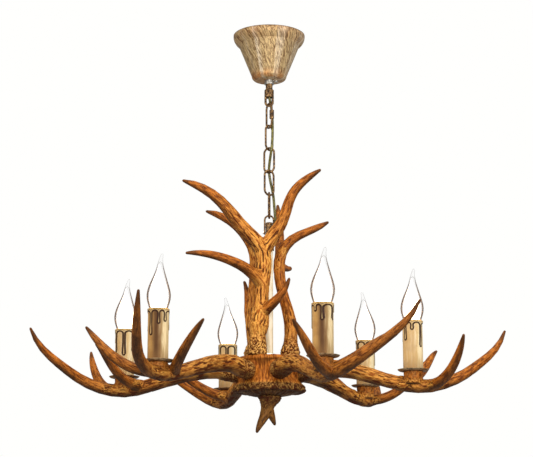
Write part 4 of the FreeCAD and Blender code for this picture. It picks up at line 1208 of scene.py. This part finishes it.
def cord_finish():
    finish = Finish("cord_sheath")
    rub = finish.noise(finish.place(), 300.0, 4.0)
    tone = finish.ramp(rub, (0.30, paint(62, 56, 20)), (0.52, paint(98, 92, 34)),
                       (0.75, paint(150, 142, 74)))
    return finish.surface(Base_Color=tone, Roughness=(0.30 + rub * 0.2), Coat_Weight=0.15,
                          Normal=finish.bump(rub, 0.0001))


finishes["stem_paint"] = stem_finish()
finishes["moulding"] = moulded_finish("moulding", paint(226, 222, 208), paint(196, 186, 160), 0.40)
finishes["black_rubber"] = moulded_finish("black_rubber", paint(26, 25, 24), paint(54, 50, 46),
                                          0.55)
finishes["cord_sheath"] = cord_finish()
print("finishes so far:", len(finishes))

# %% [markdown]
# ## Glass
# The envelopes are clear, so what is behind them shows. Seen edge-on, their wall is thick,
# which draws the fine warm-grey outline that a lit flame bulb has. The cores give light
# themselves. Their colour is warm, but so bright that the camera sees white, while the wax
# and the tines beside them get the warmth. The flame's tip is much dimmer, and a little pink.

# %% Bulb finishes
GLOW = 6.5
GLOW_DEEP = (1.0, 0.78, 0.46, 1.0)
GLOW_PALE = (1.0, 0.84, 0.56, 1.0)
GLOW_TIP = (0.128, 0.104, 0.098, 1.0)
TIP_HEIGHTS = (0.064, 0.076)
WALL_EDGE = (0.30, 0.62)


def glass_finish():
    finish = Finish("bulb_glass")
    edge = finish.node("LayerWeight", {}, {"Blend": 0.32}, output=1)
    smoke = finish.noise(finish.place(), 90.0, 2.0)
    tint = finish.mix(smoke, paint(96, 80, 70), paint(116, 98, 86))
    wall = finish.node("BsdfPrincipled", {}, {"Base Color": tint, "Roughness": 0.35,
                                              "Specular IOR Level": 0.1})
    clear = finish.node("BsdfTransparent", {}, {"Color": WHITE})
    share = (finish.spread(edge, *WALL_EDGE) * 0.88 + 0.02).clamped()
    both = finish.node("MixShader", {}, {0: share, 1: clear, 2: wall})
    finish.node("OutputMaterial", {}, {"Surface": both})
    return finish.owner


def core_finish():
    finish = Finish("bulb_core")
    frost = finish.noise(finish.place(), 120.0, 2.0)
    tip = finish.spread(finish.attribute("rise"), *TIP_HEIGHTS)
    glow = finish.mix(tip, finish.mix(frost * 0.5, GLOW_DEEP, GLOW_PALE), GLOW_TIP)
    return finish.surface(Base_Color=WHITE, Roughness=0.5, Emission_Color=glow,
                          Emission_Strength=GLOW)


finishes["bulb_glass"] = glass_finish()
finishes["bulb_core"] = core_finish()
print("finishes:", len(finishes))

# %% [markdown]
# ## Dressing the frame
# Each node of the frame keeps its shape and gets the finish of its slot. Its triangles are
# loose, so a small node group joins their points and shades them smooth, except across
# edges sharper than 30 degrees. It is a modifier, so the frame's own mesh isn't touched.

# %% Smooth shading for the frame's nodes
JOIN_POINTS = 0.000004
SHARP_EDGE = math.radians(30)


def smooth_group():
    group = bpy.data.node_groups.new("smooth_by_angle", "GeometryNodeTree")
    group.interface.new_socket("Geometry", in_out="INPUT", socket_type="NodeSocketGeometry")
    group.interface.new_socket("Geometry", in_out="OUTPUT", socket_type="NodeSocketGeometry")
    nodes, links = group.nodes, group.links
    start = nodes.new("NodeGroupInput")
    end = nodes.new("NodeGroupOutput")
    join = nodes.new("GeometryNodeMergeByDistance")
    join.inputs["Distance"].default_value = JOIN_POINTS
    faces = nodes.new("GeometryNodeSetShadeSmooth")
    faces.domain = "FACE"
    creases = nodes.new("GeometryNodeSetShadeSmooth")
    creases.domain = "EDGE"
    creases.inputs["Shade Smooth"].default_value = False
    angle = nodes.new("GeometryNodeInputMeshEdgeAngle")
    sharp = nodes.new("FunctionNodeCompare")
    sharp.operation = "GREATER_THAN"
    sharp.inputs[1].default_value = SHARP_EDGE
    links.new(start.outputs[0], join.inputs["Geometry"])
    links.new(join.outputs[0], faces.inputs["Geometry"])
    links.new(faces.outputs[0], creases.inputs["Geometry"])
    links.new(angle.outputs["Unsigned Angle"], sharp.inputs[0])
    links.new(sharp.outputs[0], creases.inputs["Selection"])
    links.new(creases.outputs[0], end.inputs[0])
    return group


smooth = smooth_group()
print("nodes in the group:", len(smooth.nodes))

# %% [markdown]
# The record names a slot for each node, and the slot picks the finish. The ring nut under
# the rose is the one exception: it is pale plated steel, though its slot is bronze. The new
# pieces get their finishes in the same way.

# %% Finishes on pieces
for entry in frame["record"]["subparts"]:
    node = frame["nodes"][entry["node"]]
    node.data.materials.clear()
    slot = "zinc_steel" if entry["node"] == "canopy_ring_nut" else entry["material_slot"]
    node.data.materials.append(finishes[slot])
    node.modifiers.new("smooth", "NODES").node_group = smooth
for piece in antlers + tubes + cords:
    piece.data.materials.clear()
    piece.data.materials.append(finishes[piece["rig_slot"]])
for core in cores:
    core.data.materials.append(finishes["bulb_core"])
print("dressed nodes:", len(frame["nodes"]), "new pieces:", len(antlers + tubes + cords + cores))

# %% [markdown]
# ## Floor
# A wide, pale floor lies well below the chandelier, out of the photograph's view. It is
# there for the views from above and keeps the room from being empty.

# %% Floor
FLOOR_DROP = 2.3
FLOOR_SIZE = 6.0
bm = bmesh.new()
bmesh.ops.create_grid(bm, x_segments=2, y_segments=2, size=FLOOR_SIZE,
                      matrix=Matrix.Translation((0, 0, -FLOOR_DROP)))
floor = finished("floor", bm)
floor_finish = Finish("floor")
speck = floor_finish.noise(floor_finish.place(), 3.0, 3.0)
pale = floor_finish.mix(speck, paint(238, 237, 234), paint(246, 245, 243))
floor.data.materials.append(floor_finish.surface(Base_Color=pale, Roughness=0.9))
print("floor at", -FLOOR_DROP)
